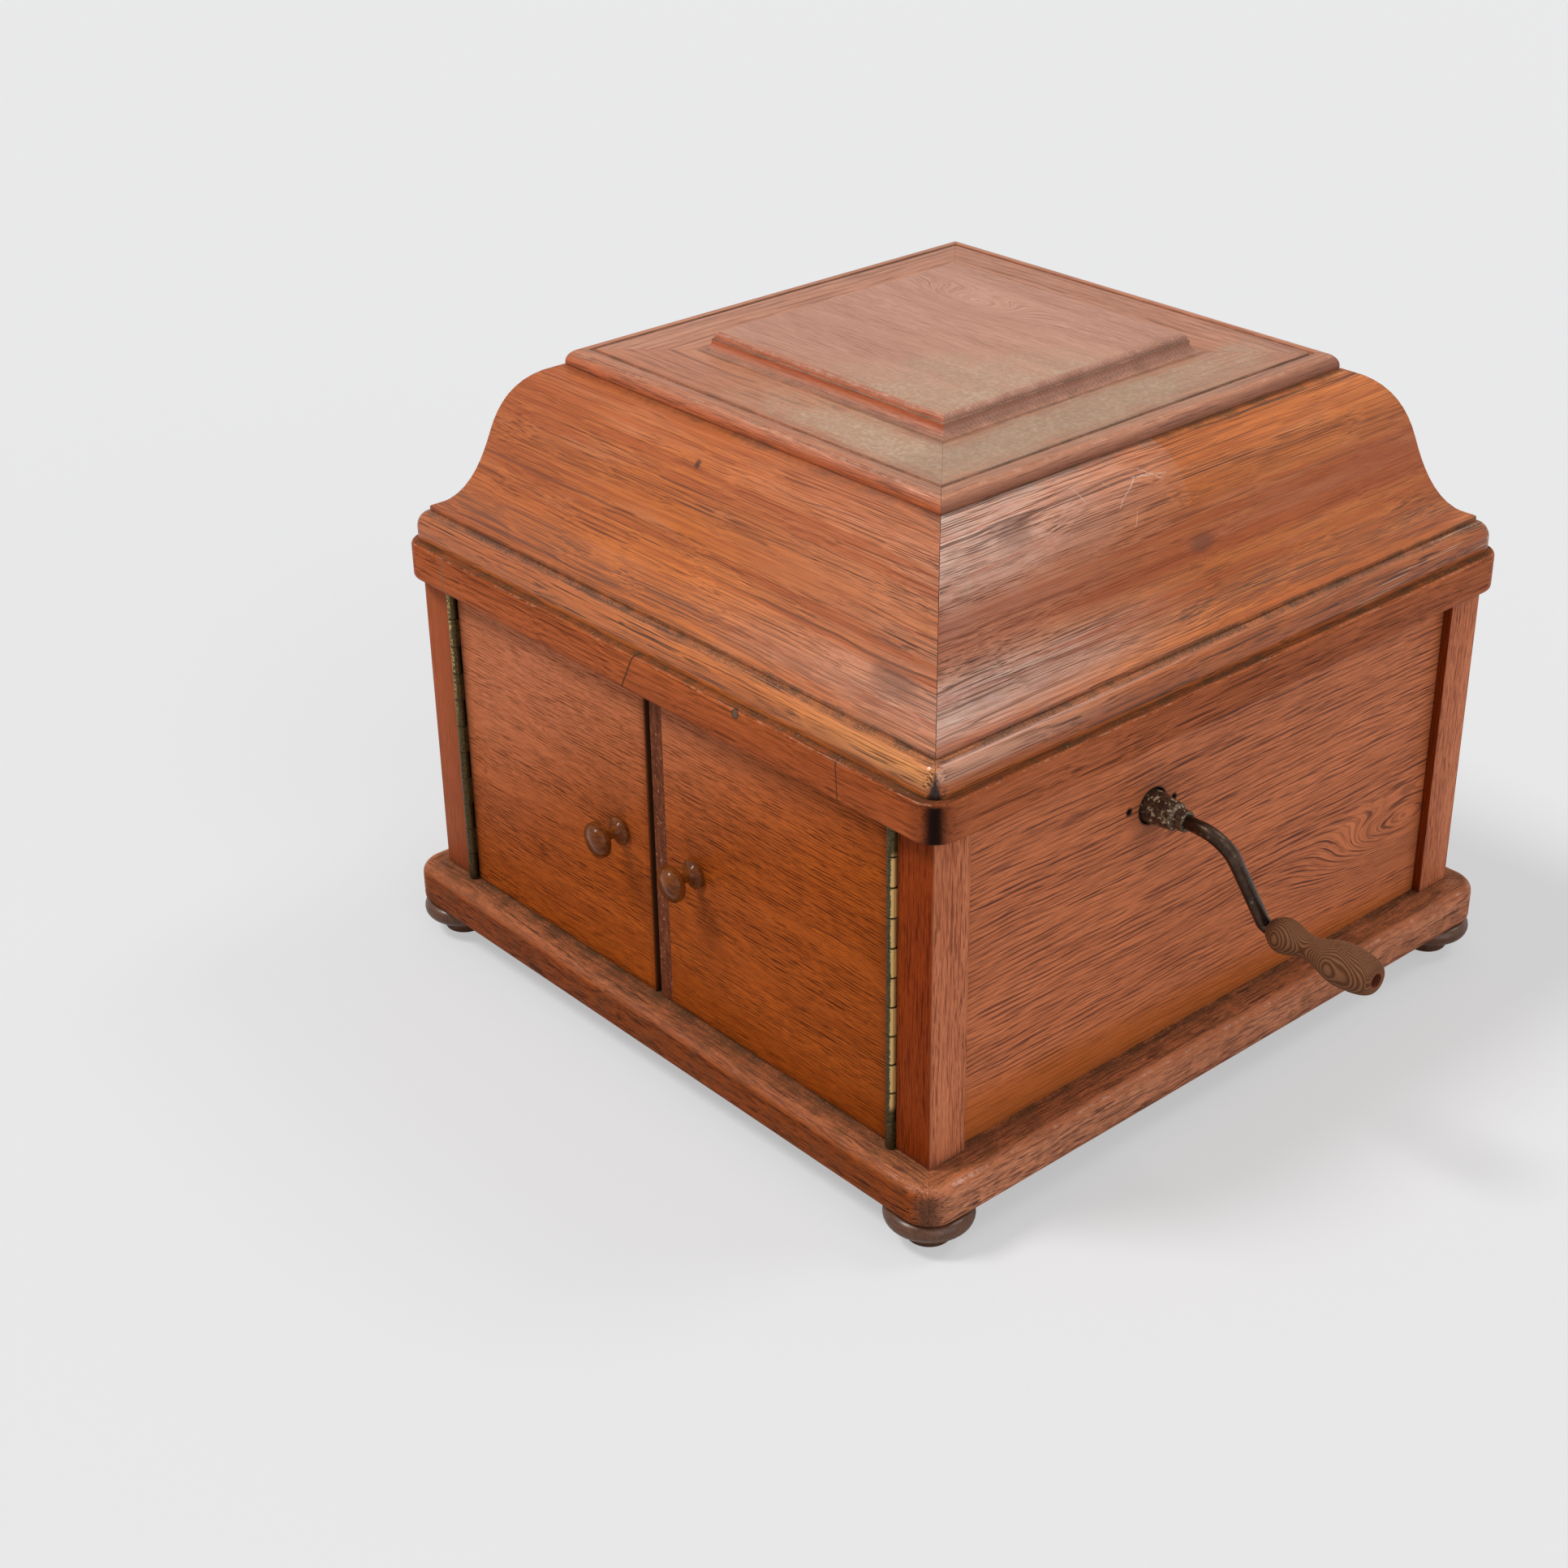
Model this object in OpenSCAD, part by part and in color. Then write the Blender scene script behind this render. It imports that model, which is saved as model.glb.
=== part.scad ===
// Table gramophone with a mitred ogee lid, twin doors on piano hinges,
// a folded wooden horn and a crank-wound spring motor.
// Lengths are in millimetres. Seen from the doors, X runs right, Y back and Z up.
// The origin lies on the floor, under the middle of the bounding box.

/* [Cabinet] */
// Width across the corner posts
body_w = 380.5; // [370:0.5:396]
// Depth across the corner posts
body_d = 384.3; // [376:0.1:396]
// Height of the feet
foot_h = 18.5; // [15:0.5:24]
// Thickness of the plinth rails
plinth_t = 21.9; // [19:0.1:26]
// How far the plinth stands out beyond the posts
plinth_lip = 15; // [12:0.5:17]
// Radius of the plinth's corners in plan
plinth_round = 16; // [8:0.5:24]
// Height of the corner posts
post_h = 172; // [169:0.1:187]
// Width of a corner post
post_w = 22.3; // [20:0.1:23.5]
// Thickness of the side and back panels
panel_t = 9; // [7:0.5:11]
// How far the panels sit behind the post faces
panel_in = 5; // [3:0.5:6.5]
// Height of the rim rails
rim_h = 20.4; // [17:0.1:24]
// How far the rim stands out beyond the posts
rim_lip = 7.5; // [6:0.5:9]
// Radius of the rim's corners in plan
rim_round = 14; // [6:0.5:20]

/* [Doors] */
// Thickness of a door
door_t = 16; // [12:0.5:17]
// How far the doors sit behind the post fronts
door_in = 1.2; // [0.8:0.1:3]
// Gap between the closed doors
door_gap = 4.7; // [3:0.1:6]
// Free edge of the right door, left of the middle
door_meet = 5; // [2:0.1:9]
// Diameter of a knob's head
knob_d = 19; // [16:0.5:22]

/* [Lid] */
// How far the lid's base moulding stands out beyond the posts
base_lip = 3.2; // [2:0.1:4.5]
// Radius of the base moulding's corners in plan
base_round = 8.4; // [7.5:0.1:12]
// Height of the ogee boards above their lip
ogee_h = 76.2; // [70:0.2:86]
// Thickness of the ogee boards
ogee_t = 11; // [9:0.5:12]
// Rise of the top panel above its tray
panel_rise = 9.8; // [9.4:0.1:12]

/* [Crank] */
// Throw of the crank, from the shaft's axis to the grip's axis
crank_r = 59.2; // [52:0.2:72]
// Angle of the crank arm from straight down, towards the back
crank_turn = 26; // [0:1:60]
// Length from the shaft's bend to the end of the grip
grip_reach = 70; // [64:1:80]
// Largest diameter of the grip
grip_d = 21; // [18:0.5:24]

/* [Playing gear] */
// Radius of the turntable
table_r = 120; // [112:1:121]
// Diameter of the record pin
pin_d = 7.2; // [7:0.05:7.25]
// Diameter of the sound box
box_d = 44; // [40:1:46]

/* [Hidden] */
$fn = 64;
oak = "#9a5a35";
oak_dark = "#7a4527";
brass = "#a08246";
bronze = "#3b2a20";
steel = "#a9aaad";
iron = "#55504c";
pale_wood = "#b08a5c";

// Half sizes over the posts and the main heights
w = body_w / 2;
d = body_d / 2;
zp = foot_h + plinth_t;
zr = zp + post_h;
zt = zr + rim_h;
rim_in = 24;
tongue = 6;
board_t = 12;
z_under = zr - 0.4;
zb = z_under + board_t;
fit = 0.05;
mitre = 0.03;

// Feet stand a little inside the post corners
foot_x = w - 4.5;
foot_y = d - 4.5;
foot_r = 21.6;
foot_disc = 11.25;
foot_low = 8.8;
foot_round = 1.6;

// Door and piano hinge positions
door_low = zp + 0.8;
door_high = zr - 1.2;
door_front = -(d - door_in);
leaf_t = 1.2;
hinge_off = 2.7;
hinge_x = w - post_w - hinge_off;
hinge_y = -(d + 0.75);
knuckle_r = 2.4;
knuckles = 11;
knuckle_p = (door_high - door_low) / knuckles;
strip_w = 9.2;
knob_z = zp + 84.5;
knob_left_x = -(door_meet + door_gap + 22.5);
knob_right_x = strip_w - door_meet + 21.2;

// Lid hinge axis and the lid's own heights
lid_y = d + 6.2;
lid_z = zt + 1;
lid_hinge_x = 110;
lid_knuckle_r = 2.5;
z_lip = zt + 15.5;
z_ogee = z_lip + 2.3;
z_tray_low = z_ogee + ogee_h;
z_tray = z_tray_low + 8.2;
tray_in = 104;
stay_x = -(w - 32.2);
stay_r = 132;

// Crank axis, through the right side panel
crank_y = -46.3;
crank_z = z_under - 39.1;
rod_r = 3.5;
bent_r = 3.6;
bend_x = w + 38.8;
crank_dx = 6;
bend_a = atan2(crank_r, crank_dx);
bend_r1 = 16;
bend_r2 = 4;
bend_t1 = bend_r1 * tan(bend_a / 2);
bend_t2 = bend_r2 * tan(bend_a / 2);
grip_x0 = bend_x + crank_dx + bend_t2 + 0.5;
grip_l = bend_x + grip_reach - grip_x0;
socket_x0 = w - 72;
socket_x1 = w - 12.2;

// Motor plates and arbors
z_plate_top = z_under - 13;
z_plate_low = z_under - 84;
plate_t = 3;
plate_x0 = -108;
plate_x1 = 98;
plate_y0 = -100;
plate_y1 = 28;
spindle = [-25, -30];
barrel = [45, crank_y];
spindle_r = 4;
arbor_r = 4;
mid_r = 3;
gov_r = 2;

// Gear sizes: module and tooth counts of each meshing pair
m_great = 1.25;
n_great = 60;
n_mid_pinion = 10;
m_mid = 1.1;
n_mid = 48;
n_spindle = 12;
m_wind = 1.6;
n_wind = 40;
n_wind_pinion = 10;
m_gov = 1;
n_gov = 48;
n_gov_pinion = 8;
tooth_k = 0.165;
bar_k = 0.1;

// The intermediate arbor stands where both pitch circles are met
run_1 = m_great * (n_great + n_mid_pinion) / 2;
run_2 = m_mid * (n_mid + n_spindle) / 2;
to_spindle = spindle - barrel;
span = norm(to_spindle);
along = (run_1 * run_1 - run_2 * run_2 + span * span) / (2 * span);
across = sqrt(run_1 * run_1 - along * along);
mid = barrel + to_spindle * along / span + across * [to_spindle[1], -to_spindle[0]] / span;
a_great = atan2(mid[1] - barrel[1], mid[0] - barrel[0]);
a_mid = atan2(spindle[1] - mid[1], spindle[0] - mid[0]);

// Crown wheels: their faces against the pinions
wind_face = crank_z - m_wind * n_wind_pinion / 2 - 1.0 * m_wind;
wind_R = m_wind * n_wind / 2;
wind_x = barrel[0] + wind_R;
gov_face = z_under - 44;
gov_z = gov_face - m_gov * (n_gov_pinion / 2 + 1.0);
gov_R = m_gov * n_gov / 2;
gov_x = spindle[0] - gov_R;
barrel_z = z_plate_low + 5;

// Turntable and tone arm
z_table = zb + 10.5;
z_mat = z_table + 1.5;
arm_at = [w - 85, d - 67];
arm_z = zb + 46;
arm_park = 4;
arm_l = norm(arm_at - spindle) - 22;
throat_r = 13;
base_r = 15;
box_r = box_d / 2;
box_y = -(arm_l + 20);
brake_d = table_r + 30;
brake_l = 42;
brake_x = -(w - 57.25);
brake_at = [brake_x, spindle[1] - sqrt(brake_d * brake_d - pow(brake_x - spindle[0], 2))];
brake_pad = table_r + 9.5;
brake_psi = acos((brake_d * brake_d + brake_l * brake_l - brake_pad * brake_pad) / (2 * brake_d * brake_l));
brake_a = atan2(spindle[1] - brake_at[1], spindle[0] - brake_at[0]) - brake_psi;
dial_at = [w - 48, -(d - 48)];
cup_at = [[-(w - 58), d - 77], [-(w - 58), d - 42]];
cup_r = 14;

// Horn: mouth in the baffle, throat below the tone arm, roof clear of the motor
motor_clear = 8;
baffle_y0 = -(d - post_w);
baffle_t = 9;
mouth_x = 138;
mouth_z0 = zp;
mouth_z1 = z_plate_low - motor_clear;
horn_y0 = baffle_y0 + baffle_t;
horn_y1 = arm_at[1] - 25;
horn_back_z = zp + 44.6;
horn_t = 6;
throat_x0 = arm_at[0] - 25;
throat_x1 = arm_at[0] + 25;
horn_slope = atan2(mouth_z1 - horn_back_z, horn_y1 - horn_y0);

// Middle of the bounding box, from the feet to the end of the grip
x_min = -(foot_x + foot_r);
x_max = bend_x + grip_reach;
frame_x = (x_min + x_max) / 2;

// Helpers

// Points of an arc about (cx, cy)
function arc(cx, cy, r, a0, a1, n) =
  [for (i = [0 : n]) let (a = a0 + (a1 - a0) * i / n) [cx + r * cos(a), cy + r * sin(a)]];

// Points of a cubic curve, leaving out the first when skip is 1
function bez(p0, p1, p2, p3, n, skip = 0) =
  [for (i = [skip : n]) let (t = i / n, s = 1 - t)
    s * s * s * p0 + 3 * s * s * t * p1 + 3 * s * t * t * p2 + t * t * t * p3];

// Unit direction that rises inwards at an angle, in a moulding's section
function rise(a) = [-cos(a), sin(a)];

// Easing from a to b
function ease(a, b, t) = a + (b - a) * (1 - cos(180 * t)) / 2;

// Moves the cabinet's middle to where the origin asks for it
module place() translate([-frame_x, 0, 0]) children();

module box(x0, x1, y0, y1, z0, z1) translate([x0, y0, z0]) cube([x1 - x0, y1 - y0, z1 - z0]);

// Cylinder along X
module rod_x(x0, x1, r) translate([x0, 0, 0]) rotate([0, 90, 0]) cylinder(r = r, h = x1 - x0);

// Front rail with mitred ends; its section is drawn as (out from the post face, height)
module front_rail() intersection() {
  translate([0, -d, 0]) rotate([90, 0, -90]) linear_extrude(body_w + 80, center = true) children();
  front_space();
}

module right_rail() intersection() {
  translate([w, 0, 0]) rotate([90, 0, 0]) linear_extrude(body_d + 80, center = true) children();
  right_space();
}

// Room between the mitres for a front and a right rail
module front_space() linear_extrude(600) polygon([
  [mitre - w - 30, -d - 30], [w + 30 - mitre, -d - 30], [w - 150 - mitre, 150 - d], [150 - w + mitre, 150 - d]]);

module right_space() linear_extrude(600) polygon([
  [w + 30, mitre - d - 30], [w + 30, d + 30 - mitre], [w - 150, d - 150 - mitre], [w - 150, 150 - d + mitre]]);

// One of the four rails: 0 front, 1 right, 2 back, 3 left
module mitred(i) {
  if (i == 0) front_rail() children();
  if (i == 1) right_rail() children();
  if (i == 2) mirror([0, 1, 0]) front_rail() children();
  if (i == 3) mirror([1, 0, 0]) right_rail() children();
}

module rail_space(i) {
  if (i == 0) front_space();
  if (i == 1) right_space();
  if (i == 2) mirror([0, 1, 0]) front_space();
  if (i == 3) mirror([1, 0, 0]) right_space();
}

// Quarter turns of a moulding about the middles of the plan's rounded corners
module turned_corners(lip, r, curve) for (sx = [-1, 1], sy = [-1, 1])
  translate([sx * (w + lip - r), sy * (d + lip - r), 0])
    rotate([0, 0, sx > 0 ? (sy > 0 ? 0 : 270) : (sy > 0 ? 90 : 180)])
      rotate_extrude(angle = 90) polygon(concat(
        [[0, curve[0][1]]], [for (p = curve) [p[0] - lip + r, p[1]]], [[0, curve[len(curve) - 1][1]]]));

// Mitred rail whose moulding runs round the corners of the plan at radius r
module rounded_rail(i, lip, r, curve) {
  difference() {
    mitred(i) children();
    for (sx = [-1, 1], sy = [-1, 1])
      translate([sx * (w + lip - r / 2 + 5), sy * (d + lip - r / 2 + 5), 300]) cube([r + 10, r + 10, 700], center = true);
  }
  intersection() {
    turned_corners(lip, r, curve);
    rail_space(i);
  }
}

// Straight-flanked gear wheel, a tooth centred on angle a
function tooth(m, n, i, a) =
  let (r = m * n / 2, h = tooth_k * PI * m, lo = r - 1.0 * m, hi = r + 0.7 * m,
       h_lo = h + 0.36 * m, h_hi = h - 0.25 * m, t = a + i * 360 / n)
  [for (q = [[lo, -h_lo], [hi, -h_hi], [hi, h_hi], [lo, h_lo]])
    [q[0] * cos(t) - q[1] * sin(t), q[0] * sin(t) + q[1] * cos(t)]];

module gear(m, n, a, t) linear_extrude(t) polygon([for (i = [0 : n - 1]) each tooth(m, n, i, a)]);

// Upright bars of a crown wheel, standing on z = 0
module crown_bars(m, n) {
  bar = 2 * bar_k * PI * m;
  R = m * n / 2;
  for (i = [0 : n - 1]) rotate([0, 0, i * 360 / n]) translate([R - 2, -bar / 2, 0]) cube([4, bar, 1.6 * m]);
}

// Quarter-turn of a round rod, in the XZ plane about the origin
module bend(R, r, a0, a) rotate([90, 0, 0]) rotate([0, 0, a0]) rotate_extrude(angle = a) translate([R, 0]) circle(r = r);

// Mouldings, drawn as (out from the post face, height)

plinth_curve = concat(
  arc(plinth_lip - 3, foot_h + 3, 3, -90, 0, 5),
  arc(plinth_lip - 6, zp - 6, 6, 0, 90, 7));

rim_curve = concat(
  arc(rim_lip - 2.5, zr + 2.5, 2.5, -90, 0, 5),
  arc(rim_lip - 2.5, zt - 2.5, 2.5, 0, 90, 5));

base_curve = concat(
  [[base_lip, zt]],
  arc(base_lip - 8.4, zt + 7, 8.4, 0, 80, 9),
  [[base_lip - 7.4, z_lip]]);

module plinth_section() polygon(concat([[-30, foot_h]], plinth_curve, [[-18, zp], [-18, zp - 9], [-30, zp - 9]]));

module rim_section() polygon(concat([[-rim_in, zr]], rim_curve, [[-rim_in, zt]]));

module base_section() polygon(concat([[-rim_in, zt]], base_curve, [[-rim_in, z_lip]]));

// Ogee: a hollow curve that runs up into a round one
ogee_s = ogee_h / 76.2;
o_lip = [-4.2, z_ogee];
o_mid = [-28.35, z_ogee + 0.5417 * ogee_h];
o_top = [-57, z_tray_low];
i_low = [-30.5, z_lip];
i_mid = o_mid - ogee_t * [sin(76.6), cos(76.6)];
i_top = o_top - ogee_t * [sin(10.6), cos(10.6)];

module ogee_section() polygon(concat(
  [[-4.2, z_lip]],
  bez(o_lip, o_lip + 14.1 * rise(12.9), o_mid - 17.9 * ogee_s * rise(76.6), o_mid, 10),
  bez(o_mid, o_mid + 19.3 * ogee_s * rise(76.6), o_top - 16.2 * rise(10.6), o_top, 10, 1),
  [[-70, o_top[1]], [-70, i_top[1]]],
  bez(i_top, i_top - 10 * rise(10.6), i_mid + 13 * ogee_s * rise(76.6), i_mid, 8),
  bez(i_mid, i_mid - 14 * ogee_s * rise(76.6), i_low + 11 * ogee_s * rise(74), i_low, 8, 1)));

module tray_section() polygon(concat(
  [[-57.4, z_tray_low]],
  arc(-63.4, z_tray_low + 1.6, 6.6, -14, 90, 9),
  [[-65.2, z_tray], [-65.8, z_tray - 1.2], [-67.2, z_tray - 1.2], [-67.8, z_tray],
   [-tray_in, z_tray], [-tray_in, z_tray_low]]));

// Edge of the top panel: a cove, a small fillet and a rounded shoulder
panel_edge = concat(
  [[-tray_in, z_tray_low], [-tray_in, z_tray + 0.2]],
  arc(-tray_in, z_tray + 4.8, 4.6, 270, 180, 6),
  [[-tray_in - 4.6, z_tray + 6], [-tray_in - 5.4, z_tray + 6]],
  arc(-tray_in - 9.2, z_tray + panel_rise - 3.8, 3.8, 0, 90, 6));

module panel_outline(h) polygon(concat(
  [for (p = panel_edge) [h + p[0], p[1]]],
  [for (i = [len(panel_edge) - 1 : -1 : 0]) [-h - panel_edge[i][0], panel_edge[i][1]]]));

// Cabinet

module feet() place() color(oak_dark)
  for (sx = [-1, 1], sy = [-1, 1]) translate([sx * foot_x, sy * foot_y, 0]) {
    ring = (foot_h - foot_low) / 2;
    rotate_extrude() {
      square([foot_disc - foot_round, foot_low]);
      translate([0, foot_round]) square([foot_disc, foot_low - 4]);
      for (z = [foot_round, foot_low - 2.4]) translate([foot_disc - foot_round, z]) circle(r = foot_round);
      translate([0, foot_low]) square([foot_r - ring, 2 * ring]);
      translate([foot_r - ring, foot_low + ring]) intersection() {
        circle(r = ring);
        translate([0, -ring]) square([ring, 2 * ring]);
      }
    }
    cylinder(r = 6, h = foot_h + 12);
  }

module plinth_rails() place() color(oak) for (i = [0 : 3]) difference() {
  rounded_rail(i, plinth_lip, plinth_round, plinth_curve) plinth_section();
  for (sx = [-1, 1], sy = [-1, 1]) translate([sx * foot_x, sy * foot_y, foot_h - 1]) cylinder(r = 6, h = 13);
}

module base_board() place() color(pale_wood) box(18 - w, w - 18, 18 - d, d - 18, zp - 9, zp);

module corner_posts() place() color(oak) for (sx = [-1, 1], sy = [-1, 1]) difference() {
  translate([sx * (w - post_w / 2), sy * (d - post_w / 2), zp + post_h / 2]) cube([post_w, post_w, post_h], center = true);
  translate([sx * (w - panel_in - panel_t / 2), sy * (d - post_w), zp]) cube([panel_t, 2 * tongue, 3 * post_h], center = true);
  if (sy > 0)
    translate([sx * (w - post_w), d - panel_in - panel_t / 2, zp]) cube([2 * tongue, panel_t, 3 * post_h], center = true);
}

module side_panel() box(w - panel_in - panel_t, w - panel_in, post_w - d - tongue, d - post_w + tongue, zp, zr);

module side_panel_left() place() color(oak) mirror([1, 0, 0]) side_panel();

// The crank hole, with the two screw holes of a plate that is gone
module side_panel_right() place() color(oak) difference() {
  side_panel();
  translate([0, crank_y, crank_z]) rod_x(w - 40, w + 10, 9.2);
  translate([0, crank_y - 16.3, crank_z + 2.7]) rod_x(w - panel_in - 6, w + 10, 1.3);
  translate([0, crank_y + 14.7, crank_z - 0.8]) rod_x(w - panel_in - 6, w + 10, 1.3);
}

module back_panel() place() color(oak)
  box(post_w - w - tongue, w - post_w + tongue, d - panel_in - panel_t, d - panel_in, zp, zr);

module rim_rails() place() color(oak) for (i = [0 : 3]) difference() {
  rounded_rail(i, rim_lip, rim_round, rim_curve) rim_section();
  if (i == 2) for (s = [-1, 1]) {
    box(s * lid_hinge_x - 25, s * lid_hinge_x + 25, lid_y - 26, lid_y, zt - 1.5, zt + 1);
    box(s * lid_hinge_x - 25.4, s * lid_hinge_x + 25.4, lid_y - 2.9, lid_y + 20, zt - 1.9, zt + 1);
  }
}

// Horn

module baffle_board() place() color(pale_wood) difference() {
  box(panel_in + panel_t - w, w - panel_in - panel_t, baffle_y0, horn_y0, zp, z_under);
  box(-mouth_x, mouth_x, baffle_y0 - 1, horn_y0 + 1, zp - 1, mouth_z1);
}

// Plan of the horn's air way, widened by e
module horn_plan(e) polygon([[-mouth_x - e, horn_y0], [mouth_x + e, horn_y0], [throat_x1 + e, horn_y1], [throat_x0 - e, horn_y1]]);

// Everything above the underside of the horn roof
module over_roof(h) translate([-300, horn_y0, mouth_z1]) rotate([-horn_slope, 0, 0]) translate([0, -100, 0]) cube([600, 600, h]);

module horn_roof() place() color(pale_wood) intersection() {
  linear_extrude(400) horn_plan(horn_t);
  over_roof(horn_t);
}

module horn_sides() place() color(pale_wood) for (s = [0, 1]) difference() {
  translate([0, 0, zp]) linear_extrude(mouth_z1 - zp) polygon(s == 0
    ? [[-mouth_x - horn_t, horn_y0], [-mouth_x, horn_y0], [throat_x0, horn_y1], [throat_x0 - horn_t, horn_y1]]
    : [[mouth_x, horn_y0], [mouth_x + horn_t, horn_y0], [throat_x1 + horn_t, horn_y1], [throat_x1, horn_y1]]);
  over_roof(200);
}

// A shoe behind the horn, with the throat tube standing on it
module throat_elbow() place() color(iron) {
  difference() {
    box(throat_x0 - horn_t, throat_x1 + horn_t, horn_y1, horn_y1 + 44 + horn_t, zp, horn_back_z + horn_t);
    box(throat_x0, throat_x1, horn_y1 - 1, horn_y1 + 44, zp - 1, horn_back_z);
    translate([arm_at[0], arm_at[1], zp]) cylinder(r = throat_r, h = z_under - zp);
  }
  translate([arm_at[0], arm_at[1], 0]) difference() {
    translate([0, 0, horn_back_z + horn_t]) cylinder(r = throat_r + 3, h = z_under - horn_back_z - horn_t);
    translate([0, 0, zp]) cylinder(r = throat_r, h = z_under);
  }
}

module motor_board() place() color(oak_dark) difference() {
  box(rim_in + 0.5 - w, w - rim_in - 0.5, rim_in + 0.5 - d, d - rim_in - 0.5, z_under, zb);
  translate([spindle[0], spindle[1], z_under - 1]) cylinder(r = 9, h = 20);
  translate([arm_at[0], arm_at[1], z_under - 1]) cylinder(r = throat_r, h = 20);
  box(stay_x - 2.2, stay_x + 2.2, lid_y - stay_r - 6, lid_y - stay_r + 8.5, z_under - 1, zb + 1);
  for (p = bolt_at) translate([p[0], p[1], z_under - 1]) cylinder(r = 3, h = 20);
  for (p = cup_at) translate([p[0], p[1], z_under - 1]) cylinder(r = cup_r, h = 20);
  translate([brake_at[0], brake_at[1], z_under - 1]) cylinder(r = 3 + fit, h = 20);
  translate([dial_at[0], dial_at[1], z_under - 1]) cylinder(r = 3 + fit, h = 20);
}

module board_cleats() place() color(pale_wood) {
  for (s = [0, 1]) mirror([s, 0, 0]) box(w - 28.8, w - panel_in - panel_t, horn_y0, d - 34, z_under - 12, z_under);
  box(post_w - w + 0.5, w - post_w - 0.5, d - 32, d - panel_in - panel_t, z_under - 12, z_under);
}

// Hinges

function knuckle_low(i) = door_low + i * knuckle_p + (i > 0 ? 0.15 : 0);
function knuckle_high(i) = door_low + (i + 1) * knuckle_p - (i < knuckles - 1 ? 0.15 : 0);

// Leaf of a piano hinge; s is 1 on the post and -1 on the door, bore_r its pin hole
module piano_leaf(s, first, bore_r) difference() {
  union() {
    translate([hinge_x + s * (hinge_off - leaf_t / 2), hinge_y + 8.65, (door_low + door_high) / 2])
      cube([leaf_t, 12.7, door_high - door_low], center = true);
    for (i = [first : 2 : knuckles - 1]) {
      translate([hinge_x, hinge_y, knuckle_low(i)]) cylinder(r = knuckle_r, h = knuckle_high(i) - knuckle_low(i));
      translate([hinge_x + s * (hinge_off - 0.7), hinge_y + 1.2, (knuckle_low(i) + knuckle_high(i)) / 2])
        cube([1.4, 2.4, knuckle_high(i) - knuckle_low(i)], center = true);
    }
  }
  translate([hinge_x, hinge_y, door_low - 1]) cylinder(r = bore_r, h = door_high - door_low + 2);
}

module door_hinge_post_leaves() place() color(brass) for (s = [0, 1]) mirror([s, 0, 0]) piano_leaf(1, 0, 1.2);

module hinge_pins() place() color(steel) {
  for (s = [-1, 1]) translate([s * hinge_x, hinge_y, door_low]) cylinder(r = 1.2, h = door_high - door_low);
  for (s = [-1, 1]) translate([0, lid_y, lid_z]) rod_x(s * lid_hinge_x - 25, s * lid_hinge_x + 25, 1.2);
}

module lid_hinge_lower() place() color(brass) for (s = [-1, 1]) translate([s * lid_hinge_x, lid_y, 0]) difference() {
  union() {
    box(-25, 25, -26, -2.9, zt - 1.5, zt);
    for (x = [-25, 8.5]) {
      box(x, x + 16.5, -2.9, 0, zt - 1.5, zt);
      translate([0, 0, lid_z]) rod_x(x, x + 16.5, lid_knuckle_r);
    }
  }
  translate([0, 0, lid_z]) rod_x(-30, 30, 1.2);
}

module lid_hinge_upper() place() color(brass) for (s = [-1, 1]) translate([s * lid_hinge_x, lid_y, 0]) difference() {
  union() {
    box(-25, 25, -26, -2.9, zt, zt + 1.5);
    box(-8.2, 8.2, -2.9, 0, zt, zt + 1.5);
    translate([0, 0, lid_z]) rod_x(-8.2, 8.2, lid_knuckle_r);
  }
  translate([0, 0, lid_z]) rod_x(-30, 30, 1.2 + fit);
}

// Doors

module door_left() place() color(oak) difference() {
  box(hinge_off - hinge_x, -door_meet - door_gap, door_front, door_front + door_t, door_low, door_high);
  translate([knob_left_x, door_front, knob_z]) rotate([90, 0, 0]) cylinder(r = 3, h = 20, center = true);
}

module door_right() place() color(oak) difference() {
  box(-door_meet, hinge_x - hinge_off, door_front, door_front + door_t, door_low, door_high);
  translate([knob_right_x, door_front, knob_z]) rotate([90, 0, 0]) cylinder(r = 3, h = 20, center = true);
  box(-door_meet - 1, strip_w - door_meet, door_front - 1, door_front + 1.2, door_low - 1, door_high + 1);
}

module door_scraped_strip() place() color(oak_dark)
  box(-door_meet, strip_w - door_meet, door_front + 0.2, door_front + 1.2, door_low, door_high);

// Turned knob: a shank, a flared foot, a thin neck and a domed head
module knob() rotate([90, 0, 0]) rotate_extrude() polygon(concat(
  [[0, -10], [3, -10], [3, 0], [7.4, 0], [7.4, 1.3]],
  [for (i = [0 : 8]) let (a = 90 * i / 8) [7.2 - 4.7 * sin(a), 1.8 + 5.6 * (1 - cos(a))]],
  [for (i = [0 : 12]) let (a = -68 + 156 * i / 12)
    [knob_d / 2 * cos(a), 14.6 + (a < 0 ? 3.6 * sin(a) - 0.6 : 2.8 * sin(a) + 0.6)]],
  [[0, 18]]));

module door_left_knob() place() color(oak_dark) translate([knob_left_x, door_front, knob_z]) knob();

module door_right_knob() place() color(oak_dark) translate([knob_right_x, door_front, knob_z]) knob();

module door_right_hinge() place() color(brass) piano_leaf(-1, 1, 1.2 + fit);

module door_left_hinge() place() color(brass) mirror([1, 0, 0]) piano_leaf(-1, 1, 1.2 + fit);

// Lid

module lid_base_frame() place() color(oak) for (i = [0 : 3]) difference() {
  rounded_rail(i, base_lip, base_round, base_curve) base_section();
  if (i == 2) for (s = [-1, 1]) {
    box(s * lid_hinge_x - 25, s * lid_hinge_x + 25, lid_y - 26, lid_y, zt - 1, zt + 1.5);
    box(s * lid_hinge_x - 25.4, s * lid_hinge_x + 25.4, lid_y - 2.9, lid_y + 20, zt - 1, zt + 4.5);
  }
}

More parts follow.
